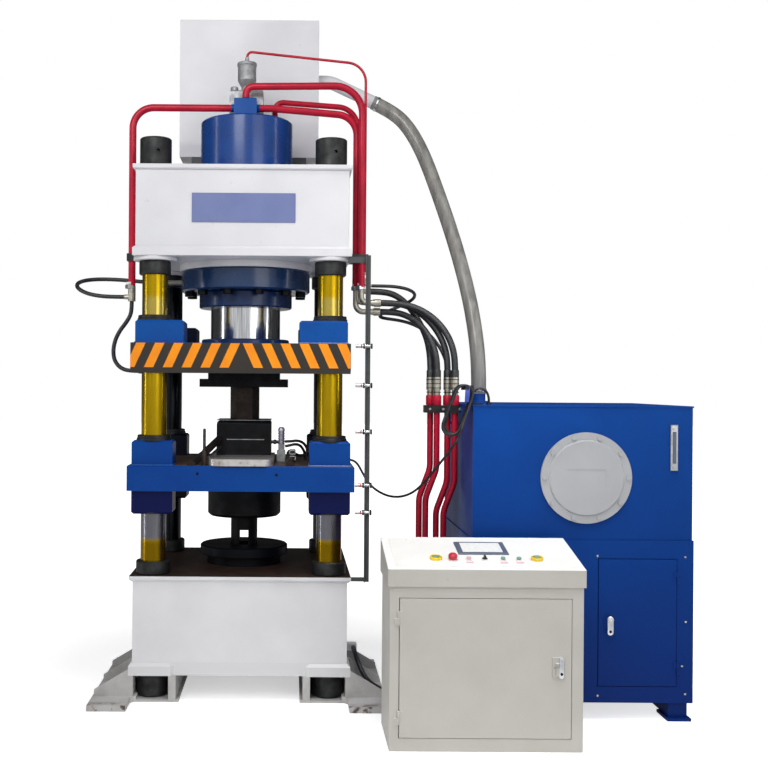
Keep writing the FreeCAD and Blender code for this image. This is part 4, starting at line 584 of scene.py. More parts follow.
def addRod(shape, start, along, outline, sides=28):  # a turned form with closed ends
    capEnds(shape, addTurned(shape, start, along, outline, sides))


def addTurnedSet(name, starts, along, outline, finish, body, sides=28):  # one form at several places
    shape = bmesh.new()
    for start in starts:
        addRod(shape, start, along, outline, sides)
    keepShape(name, shape, finish, body)


def addRing(shape, start, along, outline, sides=40):  # a turned form whose outline closes on itself
    addTurned(shape, start, along, outline + outline[:1], sides)
    bmesh.ops.remove_doubles(shape, verts=shape.verts, dist=0.001 * mm)


def routeCurve(name, route, diameter):  # a smooth line with the route's points as its control points
    curve = bpy.data.curves.new(name, "CURVE")
    curve.dimensions = "3D"
    curve.resolution_u = 10
    curve.bevel_depth = diameter / 2
    curve.bevel_resolution = 5
    curve.use_fill_caps = True
    spline = curve.splines.new("NURBS")
    spline.points.add(len(route) - 1)
    for point, corner in zip(spline.points, route):
        point.co = (*[value * mm for value in corner], 1)
    spline.order_u = 3
    spline.use_endpoint_u = True
    return curve


def centreLine(route):  # points along the route's own smooth line
    curve = routeCurve("line", route, 0)
    holder = bpy.data.objects.new("line", curve)
    line = bpy.data.meshes.new_from_object(holder)
    points = [vertex.co.copy() for vertex in line.vertices]
    bpy.data.objects.remove(holder)
    bpy.data.curves.remove(curve)
    bpy.data.meshes.remove(line)
    return points


def tubeMesh(name, points, radius, sides=20):  # a closed round tube along points
    mesh = bpy.data.meshes.new(name)
    shape = bmesh.new()
    rings = []
    across = (points[1] - points[0]).orthogonal().normalized()
    turns = [2 * math.pi * k / sides for k in range(sides)]
    for index, point in enumerate(points):
        before = points[max(index - 1, 0)]
        after = points[min(index + 1, len(points) - 1)]
        along = (after - before).normalized()
        across = (across - along * across.dot(along)).normalized()
        beside = along.cross(across)
        rings.append([shape.verts.new(spot) for spot in circle(point, across, beside, radius, turns)])
    for first, second in zip(rings, rings[1:]):
        for k in range(sides):
            face = shape.faces.new((first[k], first[k - 1], second[k - 1], second[k]))
            face.smooth = True
    shape.faces.new(rings[0])
    shape.faces.new(list(reversed(rings[-1])))
    bmesh.ops.recalc_face_normals(shape, faces=shape.faces)
    shape.to_mesh(mesh)
    shape.free()
    return mesh


cords = {
    "pressure_hose_1": dict(
        diameter=34, length=652, stiffness="stiff", lay="hanging",
        route=[(723, -205, 2037), (793, -205, 2037), (882, -215, 2024), (957, -240, 1989),
               (1018, -272, 1936), (1063, -305, 1870), (1090, -330, 1797), (1100, -340, 1722),
               (1100, -340, 1646)]),
    "pressure_hose_2": dict(
        diameter=34, length=564, stiffness="stiff", lay="hanging",
        route=[(723, -158, 1994), (786, -158, 1994), (848, -178, 1981), (900, -218, 1949),
               (943, -264, 1903), (976, -305, 1844), (998, -332, 1779), (1007, -340, 1712),
               (1007, -340, 1646)]),
    "pressure_hose_3": dict(
        diameter=34, length=715, stiffness="stiff", lay="hanging",
        route=[(655, -115, 2106), (727, -115, 2106), (797, -107, 2095), (854, -98, 2060),
               (899, -100, 2010), (933, -124, 1951), (957, -168, 1895), (971, -220, 1838),
               (977, -268, 1776), (978, -300, 1708), (978, -300, 1646)]),
    "pressure_hose_4": dict(
        diameter=34, length=643, stiffness="stiff", lay="hanging",
        route=[(723, -115, 2045), (788, -115, 2045), (858, -138, 2033), (925, -175, 1998),
               (982, -218, 1943), (1027, -258, 1875), (1057, -288, 1798), (1067, -300, 1718),
               (1067, -300, 1646)]),
    "drain_hose": dict(
        diameter=18, length=1256, stiffness="medium", lay="loose",
        route=[(680, -128, 2135), (740, -128, 2135), (810, -122, 2133), (880, -100, 2122),
               (925, -50, 2102), (922, 15, 2076), (870, 58, 2048), (802, 62, 2020), (748, 24, 1996),
               (730, -34, 1976), (756, -80, 1964), (816, -92, 1956), (880, -78, 1944),
               (944, -76, 1919), (1001, -108, 1874), (1041, -158, 1814), (1068, -208, 1746),
               (1078, -240, 1674), (1078, -240, 1606)]),
    "left_loop_hose": dict(
        diameter=22, length=916, stiffness="medium", lay="loose",
        route=[(-640, -175, 2063), (-700, -175, 2063), (-770, -180, 2066), (-840, -170, 2080),
               (-895, -130, 2108), (-918, -60, 2140), (-898, 15, 2165), (-840, 60, 2178),
               (-760, 75, 2180), (-670, 70, 2175), (-580, 58, 2166), (-500, 50, 2160),
               (-430, 50, 2160)]),
    "fill_hose": dict(
        diameter=82, length=1949, stiffness="stiff", lay="hanging",
        route=[(724, 465, 3273), (824, 465, 3226.2), (920, 440, 3140), (1010, 390, 2970),
               (1095, 300, 2700), (1175, 180, 2400), (1235, 70, 2110), (1264, -10, 1870),
               (1275, -35, 1690), (1275, -35, 1560)]),
    "console_cable": dict(
        diameter=25, length=838, stiffness="medium", lay="loose",
        route=[(728, -806, 150), (728, -745, 150), (731, -683, 138), (736, -623, 112), (741, -567, 80),
               (745, -512, 56), (745, -458, 46), (730, -408, 44), (703, -366, 48), (672, -330, 58),
               (646, -290, 80), (627, -252, 114), (612, -218, 150), (603, -170, 172), (600, -116, 178),
               (600, -62, 178)]),
    "crosshead_hose": dict(
        diameter=22, length=490, stiffness="medium", lay="hanging",
        route=[(-600, -175, 2040), (-600, -175, 2005), (-606, -175, 1965), (-630, -175, 1925),
               (-665, -175, 1880), (-690, -175, 1825), (-698, -175, 1768), (-688, -175, 1718),
               (-655, -175, 1682), (-610, -175, 1669), (-560, -175, 1669)]),
    "table_cable": dict(
        diameter=12, length=1126, stiffness="limp", lay="hanging",
        route=[(548, -190, 1206), (580, -190, 1206), (609, -192, 1184), (633, -199, 1138),
               (664, -225, 1084), (708, -262, 1046), (765, -318, 1024), (824, -380, 1028),
               (880, -444, 1060), (925, -508, 1116), (960, -578, 1176), (994, -648, 1236),
               (1022, -714, 1286), (1043, -766, 1332), (1062, -785, 1380), (1079, -775.9, 1430),
               (1097, -772, 1481)]),
}
cordFinish = {
    "fill_hose": pvcGrey, "table_cable": plastics["cableSheath"], "console_cable": plastics["cableSheath"],
}
deforming = {
    "crosshead_hose": ("slide_assembly", (-0.6, -0.175, 2.04), (-0.6, -0.175, 1.669)),
    "table_cable": ("table_assembly", (1.097, -0.772, 1.481), (0.548, -0.19, 1.206)),
}


def layCord(name, look):
    finish = cordFinish.get(name, plastics["hoseRubber"])
    diameter = look["diameter"] * mm
    route = look["route"]
    if name in deforming:
        points = centreLine(route)
        piece = bpy.data.objects.new(name + "_lay", tubeMesh(name + "_lay", points, diameter / 2))
        scene.collection.objects.link(piece)
        piece.data.materials.append(finish)
        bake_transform(piece)
    else:
        piece = addPiece(name + "_lay", routeCurve(name + "_lay", route, diameter), finish, "press_frame")
    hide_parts(name)


for cordName, cordLook in cords.items():
    layCord(cordName, cordLook)

hankLook = {
    "start": (1097, -772, 1481), "centre": (1055, 1485), "lean": 0.332, "straight": 84, "bend": 42,
    "front": -765, "pitch": 15, "steps": [0, -7, 5, -4, 3], "fan": [-7, 4, -2, 7, 0],
    "diameter": 12, "length": 3209, "stiffness": "limp", "lay": "coiled",
    "tail": [(1132, -690, 1580), (1176, -690, 1593), (1213, -690, 1566), (1213, -690, 1523)],
}


# Long loops hung over the hook, each longer or shorter than the last and fanned at the foot. Each has an
# upper bend, a strand down, a lower bend and a strand up, and lies one pitch behind the last.
def hankRoute(look):
    rise = math.sqrt(1 - look["lean"] ** 2)
    route = [look["start"]]
    depth = look["front"]

    def addPoint(along, across, y):
        x = look["centre"][0] + along * look["lean"] + across * rise
        z = look["centre"][1] + along * rise - across * look["lean"]
        route.append((x, y, z))

    for step, fan in zip(look["steps"], look["fan"]):
        low = look["straight"] + step
        for angle in (8, 40, 72, 108, 140, 172):
            turn = math.radians(angle)
            addPoint(look["straight"] + look["bend"] * math.sin(turn), look["bend"] * math.cos(turn), depth)
        for share in (0.45, -0.1, -0.6):
            addPoint(share * low, -look["bend"] + fan * (0.5 - share) / 1.5, depth)
        for angle in (188, 220, 252, 288, 320, 352):
            turn = math.radians(angle)
            addPoint(-low + look["bend"] * math.sin(turn), look["bend"] * math.cos(turn) + fan, depth)
        for share in (-0.45, 0.1, 0.6):
            climb = depth + look["pitch"] * (share + 1) / 2
            addPoint(share * low, look["bend"] + fan * (0.5 - share) / 1.5, climb)
        depth += look["pitch"]
    route.pop()
    return route + look["tail"]


def layHank(look):
    curve = routeCurve("cable_hank_lay", hankRoute(look), look["diameter"] * mm)
    piece = addPiece("cable_hank_lay", curve, plastics["cableSheath"], "press_frame")
    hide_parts("cable_hank")


layHank(hankLook)
print("cords laid:", len(cords) + 1)

hazardBand = {
    "sides": (-560, 552), "low": 1684, "high": 1809, "filmLow": 1657, "front": -500, "thick": 0.6,
    "ink": 0.3, "stripes": 6, "pitch": 95, "topFrom": 7, "bottomFrom": 63, "width": 47,
}


def addHazardBand(look):  # printed film on the moving crosshead: orange chevrons on black
    left, right = look["sides"]
    back = look["front"]
    front = back - look["thick"]
    film = ((left + 1, front, look["filmLow"]), (right - 1, back, look["high"]), 0.2)
    addBoxSet("hazard_band_black", [film], enamels["stripeBlack"], "slide_assembly")
    marks = bmesh.new()
    low, high, width = look["low"] + 1, look["high"] - 1, look["width"]
    for index in range(look["stripes"]):
        top = look["topFrom"] + look["pitch"] * index
        bottom = look["bottomFrom"] + look["pitch"] * index
        for side in (-1, 1):
            corners = [(top, high), (top + width, high), (bottom + width, low), (bottom, low)]
            near = [marks.verts.new(Vector((side * x, front - look["ink"], z)) * mm) for x, z in corners]
            solid = bmesh.ops.extrude_face_region(marks, geom=[marks.faces.new(near)])["geom"]
            for vert in solid:
                if isinstance(vert, bmesh.types.BMVert):
                    vert.co.y = front * mm
    for edge, direction in ((left + 2, -1), (right - 2, 1)):
        cut = bmesh.ops.bisect_plane(
            marks, geom=marks.verts[:] + marks.edges[:] + marks.faces[:],
            plane_co=(edge * mm, 0, 0), plane_no=(direction, 0, 0), clear_outer=True,
        )
        openEdges = [item for item in cut["geom_cut"] if isinstance(item, bmesh.types.BMEdge)]
        bmesh.ops.holes_fill(marks, edges=openEdges)
    keepShape("hazard_band_orange", marks, enamels["signalOrange"], "slide_assembly")


addHazardBand(hazardBand)

plateSizes = {"low": (-256, -488.5, 2418), "high": (268, -485, 2567)}


def addNamePlate(look):  # bare enamelled plate on the upper crosshead
    plate = (look["low"], look["high"], 1.2)
    addBoxSet("bare_plate", [plate], enamels["plateBlue"], "press_frame")


addNamePlate(plateSizes)

bossBeads = {
    "slide": dict(body="slide_assembly", x=(292, 537), y=(-490, -290), z=1810, size=5),
    "table": dict(body="table_assembly", x=(346, 554), y=(-472, -308), z=1190, size=5),
}
beadRipple = {"steps": 24, "share": 0.14, "turn": 2.4}  # how many rings, how deep and how close its waves


def addBead(name, look, side, finish):  # rippled weld bead along the front and the sides of a boss's foot
    bead = bmesh.new()
    near, far = sorted((side * look["x"][0], side * look["x"][1]))
    front, back = look["y"]
    z, size = look["z"], look["size"]
    steps, share, turn = beadRipple.values()
    for along, start, length in (
        ((1, 0, 0), (near - size, front, z), far - near + 2 * size),
        ((0, 1, 0), (near, front, z), back - front),
        ((0, 1, 0), (far, front, z), back - front),
    ):
        widths = [size * (1 + share * math.sin(k * turn + length)) for k in range(steps + 1)]
        addRod(bead, start, along, [(width, length * k / steps) for k, width in enumerate(widths)], 10)
    keepShape(name, bead, finish, look["body"])


for beadName, beadLook in bossBeads.items():
    # the right beads are pale: a painted highlight where light catches them; the left ones keep the boss's
    # blue
    addBead(beadName + "_bead_right_highlight", beadLook, 1, enamels["plateBlue"])
    addBead(beadName + "_bead_left", beadLook, -1, enamels["royalBlue"])

dieTrim = {
    "front": -150, "seam": (-90, 110, 1307), "panel": (-92, 104, 1248, 1300),
    "rimHeight": (1408.5, 1411),
    "rimHighlight": [(-145, -91, -136, 136), (91, 145, -136, 136), (-121, 121, -144, -116), (-121, 121, 116, 144)],
}


def addDieTrim(look):  # painted highlight along the top rim, parting seam and front plate of the lower die
    front = look["front"]
    left, right, z = look["seam"]
    low, high = look["rimHeight"]
    boxes = [((left, front - 1.2, z - 2), (right, front, z + 2), 0.4)]
    # the rim strips are pale steel: a painted highlight along the die's top edges
    boxes += [((x0, y0, low), (x1, y1, high), 0.8) for x0, x1, y0, y1 in look["rimHighlight"]]
    addBoxSet("die_seam_and_rim_highlight", boxes, steels["casting"], "table_assembly")
    left, right, low, high = look["panel"]
    panel = ((left, front - 2.5, low), (right, front, high), 1)
    addBoxSet("die_front_plate", [panel], steels["toolBlack"], "table_assembly")


addDieTrim(dieTrim)

tableFittings = {
    "valve": (202, -128, 1190), "stud": (-185, -470, 1190),
    "screws": ((-217, 1150), (181, 1147)), "front": -500,
    "strap": ((-181, -452, 1256), (-128, -165, 1312)), "rod": ((-165, -430, 1230), (-120, -165, 1270)),
    "plug": (262, -150, 1190),
}


def addBar(shape, start, end, width, thick):  # a flat bar between two points
    axis = Vector(end) - Vector(start)
    rings = addTurned(shape, start, axis, [(1, 0), (1, axis.length)], 4)
    along = axis.normalized()
    side = along.cross(Vector((0, 0, 1))).normalized()
    rise = side.cross(along)
    for ring, middle in zip(rings, (Vector(start), Vector(end))):
        for vert, (u, v) in zip(ring, ((-1, -1), (1, -1), (1, 1), (-1, 1))):
            vert.co = (middle + side * width / 2 * u + rise * thick / 2 * v) * mm
        shape.faces.new(ring)


def addTableFittings(look):  # valve, stud with its sleeve, strap, rod, two front screws and a clipped plug
    x, y, z = look["valve"]
    foot = ((x - 24, y - 22, z), (x + 22, y + 22, z + 60), 2)
    neck = ((x - 17, y - 17, z + 60), (x + 17, y + 17, z + 92), 1.5)
    addBoxSet("table_valve_foot", [foot, neck], steels["casting"], "table_assembly")
    outline = [(16, 92), (18, 94)]
    for low in range(97, 154, 14):  # five ribs
        outline += [(18, low), (15.5, low + 2), (15.5, low + 6), (18, low + 8)]
    outline += [(18, 174), (13, 182), (7, 184)]
    finish = steels["lilacZinc"]
    addTurnedSet("table_valve_body", [(x, y, z)], upright, outline, finish, "table_assembly")
    outline = [(9, 0), (9, 14), (13, 14), (13, 28), (9, 28), (9, 42)]
    addTurnedSet(
        "table_valve_link", [(x - 56, y, z + 104)], (1, 0, 0), outline, plastics["blackPlastic"],
        "table_assembly", 18,
    )
    places = [look["stud"]]
    outline = [(15, 0), (15, 8), (12.5, 9), (12.5, 70), (10, 76), (10, 81)]
    finish = steels["punch"]
    addTurnedSet("table_stud_sleeve", places, upright, outline, finish, "table_assembly")
    outline = [(7.4, 81)]
    for crest in range(84, 175, 6):  # sixteen turns of thread, drawn coarse so that they show
        outline += [(8.2, crest), (7.2, crest + 3)]
    outline += [(7, 184), (5, 187)]
    finish = steels["blackened"]
    addTurnedSet("table_stud", places, upright, outline, finish, "table_assembly")
    strap = bmesh.new()
    addBar(strap, *look["strap"], 34, 20)
    keepShape("die_strap", strap, steels["punch"], "table_assembly")
    rod = bmesh.new()
    addBar(rod, *look["rod"], 12, 9)
    keepShape("die_strap_rod", rod, steels["bright"], "table_assembly")
    places = [(x, look["front"] + 1, z) for x, z in look["screws"]]
    outline = [(7, 0), (7, 4), (5, 5.5)]
    finish = steels["toolBlack"]
    addTurnedSet("table_front_screws", places, forward, outline, finish, "table_assembly", 16)
    x, y, z = look["plug"]
    plug = ((x - 16, y - 14, z), (x + 16, y + 14, z + 66), 2)
    addBoxSet("table_plug", [plug], plastics["blackPlastic"], "table_assembly")
    clips = [
        ((x + x0, y - 15.5, low + z0), (x + x1, y - 14, low + z1), 0.4)
        for low in (z + 8, z + 40)
        for x0, x1, z0, z1 in ((-17, 17, 0, 4), (-17, 17, 19, 23), (-17, -13, 0, 23), (13, 17, 0, 23))
    ]
    addBoxSet("table_plug_clips", clips, plastics["whitePlastic"], "table_assembly")


addTableFittings(tableFittings)

tableHoses = {
    "table_hose_long": dict(
        diameter=15, length=268, stiffness="medium", lay="loose",
        route=[(220, -120, 1296), (252, -120, 1297), (286, -116, 1302), (318, -104, 1292),
               (340, -88, 1262), (342, -84, 1236), (322, -98, 1222), (296, -126, 1222), (270, -145, 1236),
               (264, -149, 1250)]),
    "table_hose_short": dict(
        diameter=15, length=178, stiffness="medium", lay="loose",
        route=[(222, -140, 1272), (246, -142, 1276), (276, -136, 1284), (304, -122, 1276),
               (322, -104, 1250), (330, -92, 1225), (333, -88, 1198)]),
}


def addTableHoses(looks):
    for name, look in looks.items():
        curve = routeCurve(name, look["route"], look["diameter"] * mm)
        piece = addPiece(name, curve, plastics["cableSheath"], "table_assembly")


addTableHoses(tableHoses)
print("press and table dressed")

pipeEnds = {  # x, y, joint height and pipe radius of each pressure pipe's lower end
    "places": [(616, -205, 2120, 15), (590, -158, 2120, 15), (596, -115, 2165, 13), (640, -128, 2185, 7),
               (-610, -175, 2120, 19)],
    "nut": [(4, 0), (7, 3), (7, 19), (4, 22)],  # how far each goes beyond the pipe's radius
    "tape": [(0.8, 0), (1.6, 2), (1.6, 12), (0.8, 14)],
}


def addPipeEnds(look):  # a nut and a wrap of white sealing tape on each joint
    nuts = bmesh.new()
    tapes = bmesh.new()
    for x, y, z, radius in look["places"]:
        addRod(nuts, (x, y, z - 14), upright, [(radius + more, far) for more, far in look["nut"]], 6)
        addRod(tapes, (x, y, z + 8), upright, [(radius + more, far) for more, far in look["tape"]])
    keepShape("pipe_nuts", nuts, steels["bright"], "press_frame")
    keepShape("pipe_tape", tapes, plastics["whitePlastic"], "press_frame")


addPipeEnds(pipeEnds)

hoseFeet = {
    "places": [(1100, -340), (1007, -340), (978, -300), (1067, -300)],
    "clampBolts": [(x, -363, 1481) for x in (968, 1036, 1070, 1122)], "bolt": [(8, 0), (8, 9), (6, 11)],
    "sleeve": ([1642], [(20.5, 0), (20.5, 36), (18, 42)]),  # heights, then the outline
    "grooves": ([1566, 1588, 1610, 1632], [(21.6, 0), (21.6, 4)]),
    "collar": ([1501], [(22, 0), (23, 2), (23, 46), (20, 52)]),
}


def addHoseFeet(look):  # sleeve ends above the ferrules, crimp grooves, painted collars, the clamp's bolts
    places, outline, finish = look["clampBolts"], look["bolt"], steels["bright"]
    addTurnedSet("hose_clamp_bolts", places, forward, outline, finish, "press_frame", 6)
    for name, part, finish, slot in (
        ("hose_sleeves", "sleeve", plastics["hoseRubber"], "black_rubber"),
        ("ferrule_grooves", "grooves", steels["punch"], "zinc_plate"),
        ("pipe_collars", "collar", enamels["crimson"], "crimson_paint"),
    ):
        heights, outline = look[part]
        places = [(x, y, z) for x, y in look["places"] for z in heights]
        addTurnedSet(name, places, upright, outline, finish, "press_frame", 24)


addHoseFeet(hoseFeet)

hoseClips = [((741, 465, 3265), (0.906, 0, -0.424)), ((1275, -35, 1586), (0, 0, -1))]


def addHoseClips(places):  # worm-drive clips on the suction hose's ends
    clips = bmesh.new()
    for start, along in places:
        addRing(clips, start, along, [(41.2, 0), (43.4, 0), (43.4, 14), (41.2, 14)], 48)
        across = Vector(along).cross(Vector((0, 1, 0))).normalized()
        front = Vector(start) + Vector(along) * 7 + Vector((0, -46, 0))
        addRod(clips, front - across * 12, across, [(5, 0), (6, 1), (6, 23), (5, 24)], 12)
    keepShape("suction_hose_clips", clips, steels["bright"], "press_frame")


addHoseClips(hoseClips)

hankTie = {
    "x": 1092, "front": -786, "low": 1524, "high": 1600, "rows": 8, "bulge": 5, "half": (9, 2), "slant": 5,
    "thick": 2.6,
}


def addHankTie(look):  # blue webbing strap hung over the hook in front of the spare cable
    tie = bmesh.new()
    thick = look["thick"]
    rings = []
    for row in range(look["rows"] + 1):
        share = row / look["rows"]
        swell = math.sin(math.pi * share)
        x = look["x"] + look["slant"] * (share - 0.5)
        y = look["front"] - look["bulge"] * swell
        z = look["low"] + (look["high"] - look["low"]) * share
        half = look["half"][0] + look["half"][1] * swell
        corners = [(x - half, y), (x + half, y), (x + half, y + thick), (x - half, y + thick)]
        rings.append([tie.verts.new(Vector((*corner, z)) * mm) for corner in corners])
    joinRings(tie, rings)
    capEnds(tie, rings)
    keepShape("hank_tie", tie, plastics["blueNylon"], "press_frame")


addHankTie(hankTie)

sensorTrim = {"heights": [1798, 1600, 1367, 1098, 961], "y": -502, "nuts": (613, 651), "ring": (601,)}


def addSensorTrim(look):  # lock nuts each side of the rail, and the switch's red end ring
    nut = [(12, 0), (14, 1.5), (14, 7.5), (12, 9)]
    for name, sides, outline, finish, slot, xs in (
        ("sensor_nuts", 6, nut, steels["blackened"], "black_steel", look["nuts"]),
        ("sensor_rings", 20, [(9.6, 0), (9.6, 6)], plastics["redPlastic"], "red_plastic", look["ring"]),
    ):
        places = [(x, look["y"], z) for z in look["heights"] for x in xs]
        addTurnedSet(name, places, (1, 0, 0), outline, finish, "press_frame", sides)


addSensorTrim(sensorTrim)
print("pipes, hoses and sensors dressed")

panelPlane = {"front": -1224, "low": 800, "depth": 404, "rise": 80}


def onPanel(x, along, up):  # a place on the console's sloped panel, in millimetres
    tilt = math.atan2(panelPlane["rise"], panelPlane["depth"])
    y = panelPlane["front"] + along * math.cos(tilt) - up * math.sin(tilt)
    return Vector((x, y, panelPlane["low"] + along * math.sin(tilt) + up * math.cos(tilt)))


def panelUp():
    return onPanel(0, 0, 1) - onPanel(0, 0, 0)


def addPanelPlate(shape, x0, x1, near, far, low, high, edge):  # a thin plate lying on the sloped panel
    start = len(shape.verts)
    addBox(shape, (x0, near, low), (x1, far, high), edge)
    shape.verts.ensure_lookup_table()
    for vert in shape.verts[start:]:
        x, along, up = vert.co / mm
        vert.co = onPanel(x, along, up) * mm


consoleTrim = {
    "touch": (1129, 173, 163, 230), "screen": 24, "row": 108,
    "starts": (903, 1355), "stop": (979,), "pushes": (1051, 1203, 1274), "selector": (1122,),
    "cup": [(19, 0), (26, 0), (27, 3), (27, 13), (25, 15), (19, 15)],
    "ring": [(20.8, 0), (23, 0), (22.4, 3), (20.8, 3)],
    "base": [(12.5, 0), (17, 0), (16, 5), (12.5, 5)],
}


def addConsoleTrim(look):  # screen, cups, ring and base of the controls, and the labels of the push buttons
    middle, near, depth, width = look["touch"]
    half = width / 2 - look["screen"]
    screen = bmesh.new()
    addPanelPlate(screen, middle - half, middle + half, near + 22, near + depth - 18, 8.6, 9.6, 0.3)
    keepShape("touch_screen", screen, plastics["whitePlastic"], "console_lid")
    for name, xs, outline, finish, slot in (
        ("start_button_cups", look["starts"], look["cup"], plastics["yellowPlastic"], "yellow_plastic"),
        ("stop_button_ring", look["stop"], look["ring"], plastics["rosePlastic"], "red_plastic"),
        ("selector_base", look["selector"], look["base"], plastics["whitePlastic"], "white_plastic"),
    ):
        shape = bmesh.new()
        for x in xs:
            addRing(shape, onPanel(x, look["row"], 4), panelUp(), outline)
        keepShape(name, shape, finish, "console_lid")
    labels = bmesh.new()
    for x in look["pushes"]:
        addPanelPlate(labels, x - 16, x + 16, look["row"] - 42, look["row"] - 22, 3, 4, 0.3)
    keepShape("push_button_labels", labels, plastics["rosePlastic"], "console_lid")


addConsoleTrim(consoleTrim)

doorLocks = {
    "console": dict(body="console_door", x=1438, z=374, y=-1243, width=20, height=92, proud=4, key=-0.28),
    "unit": dict(body="power_unit_door", x=1787, z=458, y=-771, width=29, height=91, proud=5, key=-0.3),
}


def addDoorLock(name, look):  # rounded chrome plate with its key cylinder and the bar across it
    plate = bmesh.new()
    x, y, z = look["x"], look["y"], look["z"]
    half = look["width"] / 2
    straight = look["height"] / 2 - half
    sides, edge = 24, 1.5
    points = []
    for k in range(sides):
        turn = 2 * math.pi * (k + 0.5) / sides
        lift = straight if math.sin(turn) > 0 else -straight
        points.append((half * math.cos(turn), lift + half * math.sin(turn)))
    rings = []
    for depth, scale in ((0, 1), (look["proud"] - edge, 1), (look["proud"], 1 - edge / half)):
        places = [Vector((x + across * scale, y - depth, z + up * scale)) for across, up in points]
        rings.append([plate.verts.new(place * mm) for place in places])
    joinRings(plate, rings)
    capEnds(plate, rings)
    keepShape(name + "_lock_plate", plate, steels["chrome"], look["body"])
    key = bmesh.new()
    z += look["key"] * look["height"]
    front = y - look["proud"]
    addRod(key, (x, front, z), forward, [(6.5, -1), (6.5, 1.2), (5.5, 2)], 20)
    addBox(key, (x - 1.2, front - 2.6, z - 4), (x + 1.2, front - 2, z + 4), 0.2)
    keepShape(name + "_lock_key", key, steels["toolBlack"], look["body"])


for lockName, lockLook in doorLocks.items():
    addDoorLock(lockName, lockLook)

doorLever = {"x": (1404, 1424), "z": 382, "y": -1243}


def addDoorLever(look):  # small turn lever beside the console's lock
    lever = bmesh.new()
    x0, x1 = look["x"]
    addBar(lever, (x0, look["y"] - 6, look["z"] - 6), (x1 + 4, look["y"] - 6, look["z"] + 7), 7, 5)
    addRod(lever, (x1, look["y"], look["z"]), forward, [(6, 0), (6, 6), (5, 8)], 18)
    keepShape("console_door_lever", lever, steels["casting"], "console_door")


addDoorLever(doorLever)

unitScrews = {
    "front": -756.5,
    "places": [(1728, 789), (2149, 787), (2123, 672), (2153, 476), (2136, 263), (1732, 119), (2152, 129)],
}


def addUnitScrews(look):  # small zinc screws that hold the cabinet's front sheet
    places = [(x, look["front"] + 1, z) for x, z in look["places"]]
    outline = [(5, 0), (5, 1.5), (3, 3)]
    addTurnedSet("unit_screws", places, forward, outline, steels["zinc"], "press_frame", 16)


addUnitScrews(unitScrews)

gaugeTrim = {"x": (2083, 2099), "z": (1236, 1388), "y": -764}


def addGaugeGlass(look):  # sight glass between the level gauge's two screws
    (x0, x1), (z0, z1) = look["x"], look["z"]
    glass = ((x0, look["y"] - 3.5, z0), (x1, look["y"] + 1, z1), 1)
    addBoxSet("gauge_glass", [glass], plastics["slatePlastic"], "press_frame")


addGaugeGlass(gaugeTrim)
print("console and power unit dressed")

studioLook = {
    "sky": 0.34, "floorGlow": 0.14, "backdrop": 1.0, "mirrorDark": 0.05, "mirrorBright": 0.85,
    "soft": [
        ("keyLight", (-1.6, -5.5, 5.4), 2.6, 66, (0.1, 0, 3.0), 110),
        ("fillLight", (3.6, -6.2, 3.4), 3.2, 30, (0.4, 0, 2.4), 120),
        ("topLight", (1.25, -2.0, 4.4), 1.8, 13, (1.2, -1.0, 0.8), 60),
    ],
    "strips": [("leftStrip", (-3.9, -0.9, 2.2), 26), ("rightStrip", (4.6, -1.0, 2.2), 22)],
    "stripWidth": 0.3, "stripHeight": 4.2,
}


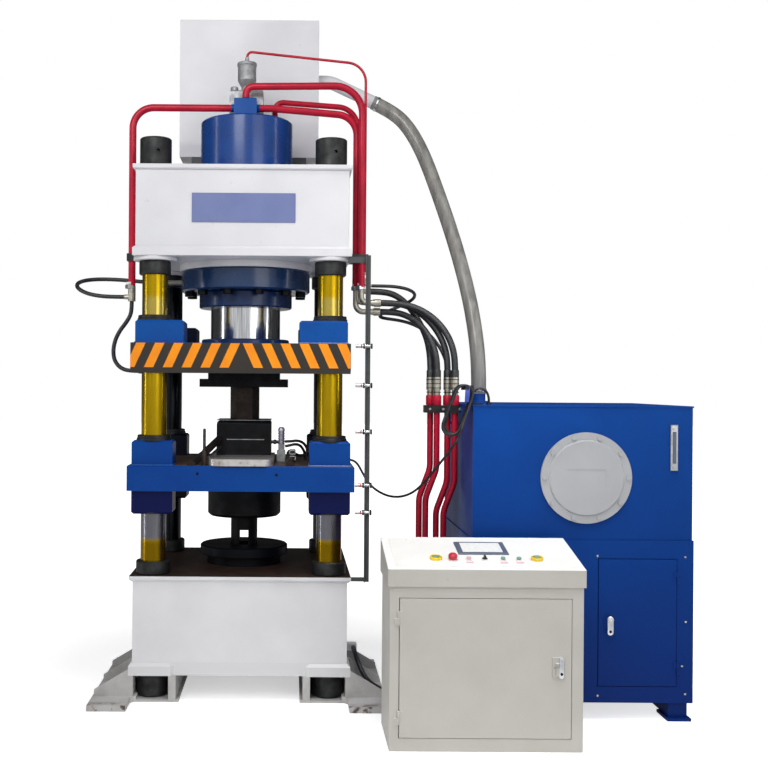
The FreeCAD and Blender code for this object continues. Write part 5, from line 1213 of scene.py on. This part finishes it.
def addFloor(look):  # pale floor that fades into the white backdrop away from the machine
    mesh = bpy.data.meshes.new("studioFloor")
    shape = bmesh.new()
    bmesh.ops.create_grid(shape, x_segments=1, y_segments=1, size=40)
    shape.to_mesh(mesh)
    shape.free()
    floor = bpy.data.objects.new("studioFloor", mesh)
    scene.collection.objects.link(floor)
    material, tree, shader, place = newFinish("paleFloor")
    radius = addNode(tree, "VectorMath", {0: place}, operation="LENGTH").outputs["Value"]
    away = addNode(
        tree, "MapRange", {"Value": radius, "From Min": 1, "From Max": 3.2, "To Min": 0.45}
    )
    seen = addNode(tree, "LightPath", {}).outputs["Is Camera Ray"]
    share = addNode(tree, "MapRange", {"Value": seen, "To Min": look["floorGlow"]})
    glow = addNode(tree, "Math", {0: away, 1: share}, operation="MULTIPLY")
    feed(tree, shader, {
        "Base Color": toLinear("F6F6F6"), "Roughness": 0.95, "Emission Color": toLinear("FFFFFF"),
        "Emission Strength": glow,
    })
    mesh.materials.append(material)


def addWorld(look):  # white for the eye and for soft light, darker behind the machine in its reflections
    world = bpy.data.worlds.new("studioWorld")
    scene.world = world
    world.use_nodes = True
    tree = world.node_tree
    path = addNode(tree, "LightPath", {})
    direction = addNode(tree, "TexCoord", {}).outputs["Generated"]
    depth = addNode(tree, "SeparateXYZ", {0: direction}).outputs[1]
    ahead = addNode(
        tree, "MapRange",
        {"Value": depth, "From Min": 0.05, "From Max": -0.75,
         "To Min": look["mirrorDark"], "To Max": look["mirrorBright"]},
    )
    diffuse = addNode(
        tree, "Mix",
        {0: path.outputs["Is Camera Ray"], 2: look["sky"], 3: look["backdrop"]}, data_type="FLOAT",
    ).outputs[0]
    strength = addNode(
        tree, "Mix", {0: path.outputs["Is Glossy Ray"], 2: diffuse, 3: ahead}, data_type="FLOAT"
    ).outputs[0]
    feed(tree, tree.nodes["Background"], {"Color": toLinear("FFFFFF"), "Strength": strength})


def addLight(name, place, size, power, aim, spread=180):
    data = bpy.data.lights.new(name, "AREA")
    data.shape = "RECTANGLE"
    data.size, data.size_y = size
    data.energy = power
    data.spread = math.radians(spread)
    light = bpy.data.objects.new(name, data)
    light.location = place
    light.rotation_mode = "QUATERNION"
    light.rotation_quaternion = (Vector(aim) - Vector(place)).to_track_quat("-Z", "Y")
    scene.collection.objects.link(light)


def addStudio(look):
    addFloor(look)
    addWorld(look)
    for name, place, size, power, aim, spread in look["soft"]:
        addLight(name, place, (size, size), power, aim, spread)
    for name, place, power in look["strips"]:
        addLight(name, place, (look["stripWidth"], look["stripHeight"]), power, (0, 0, place[2]))
    scene.view_settings.view_transform = "Standard"


addStudio(studioLook)
print("studio lit")
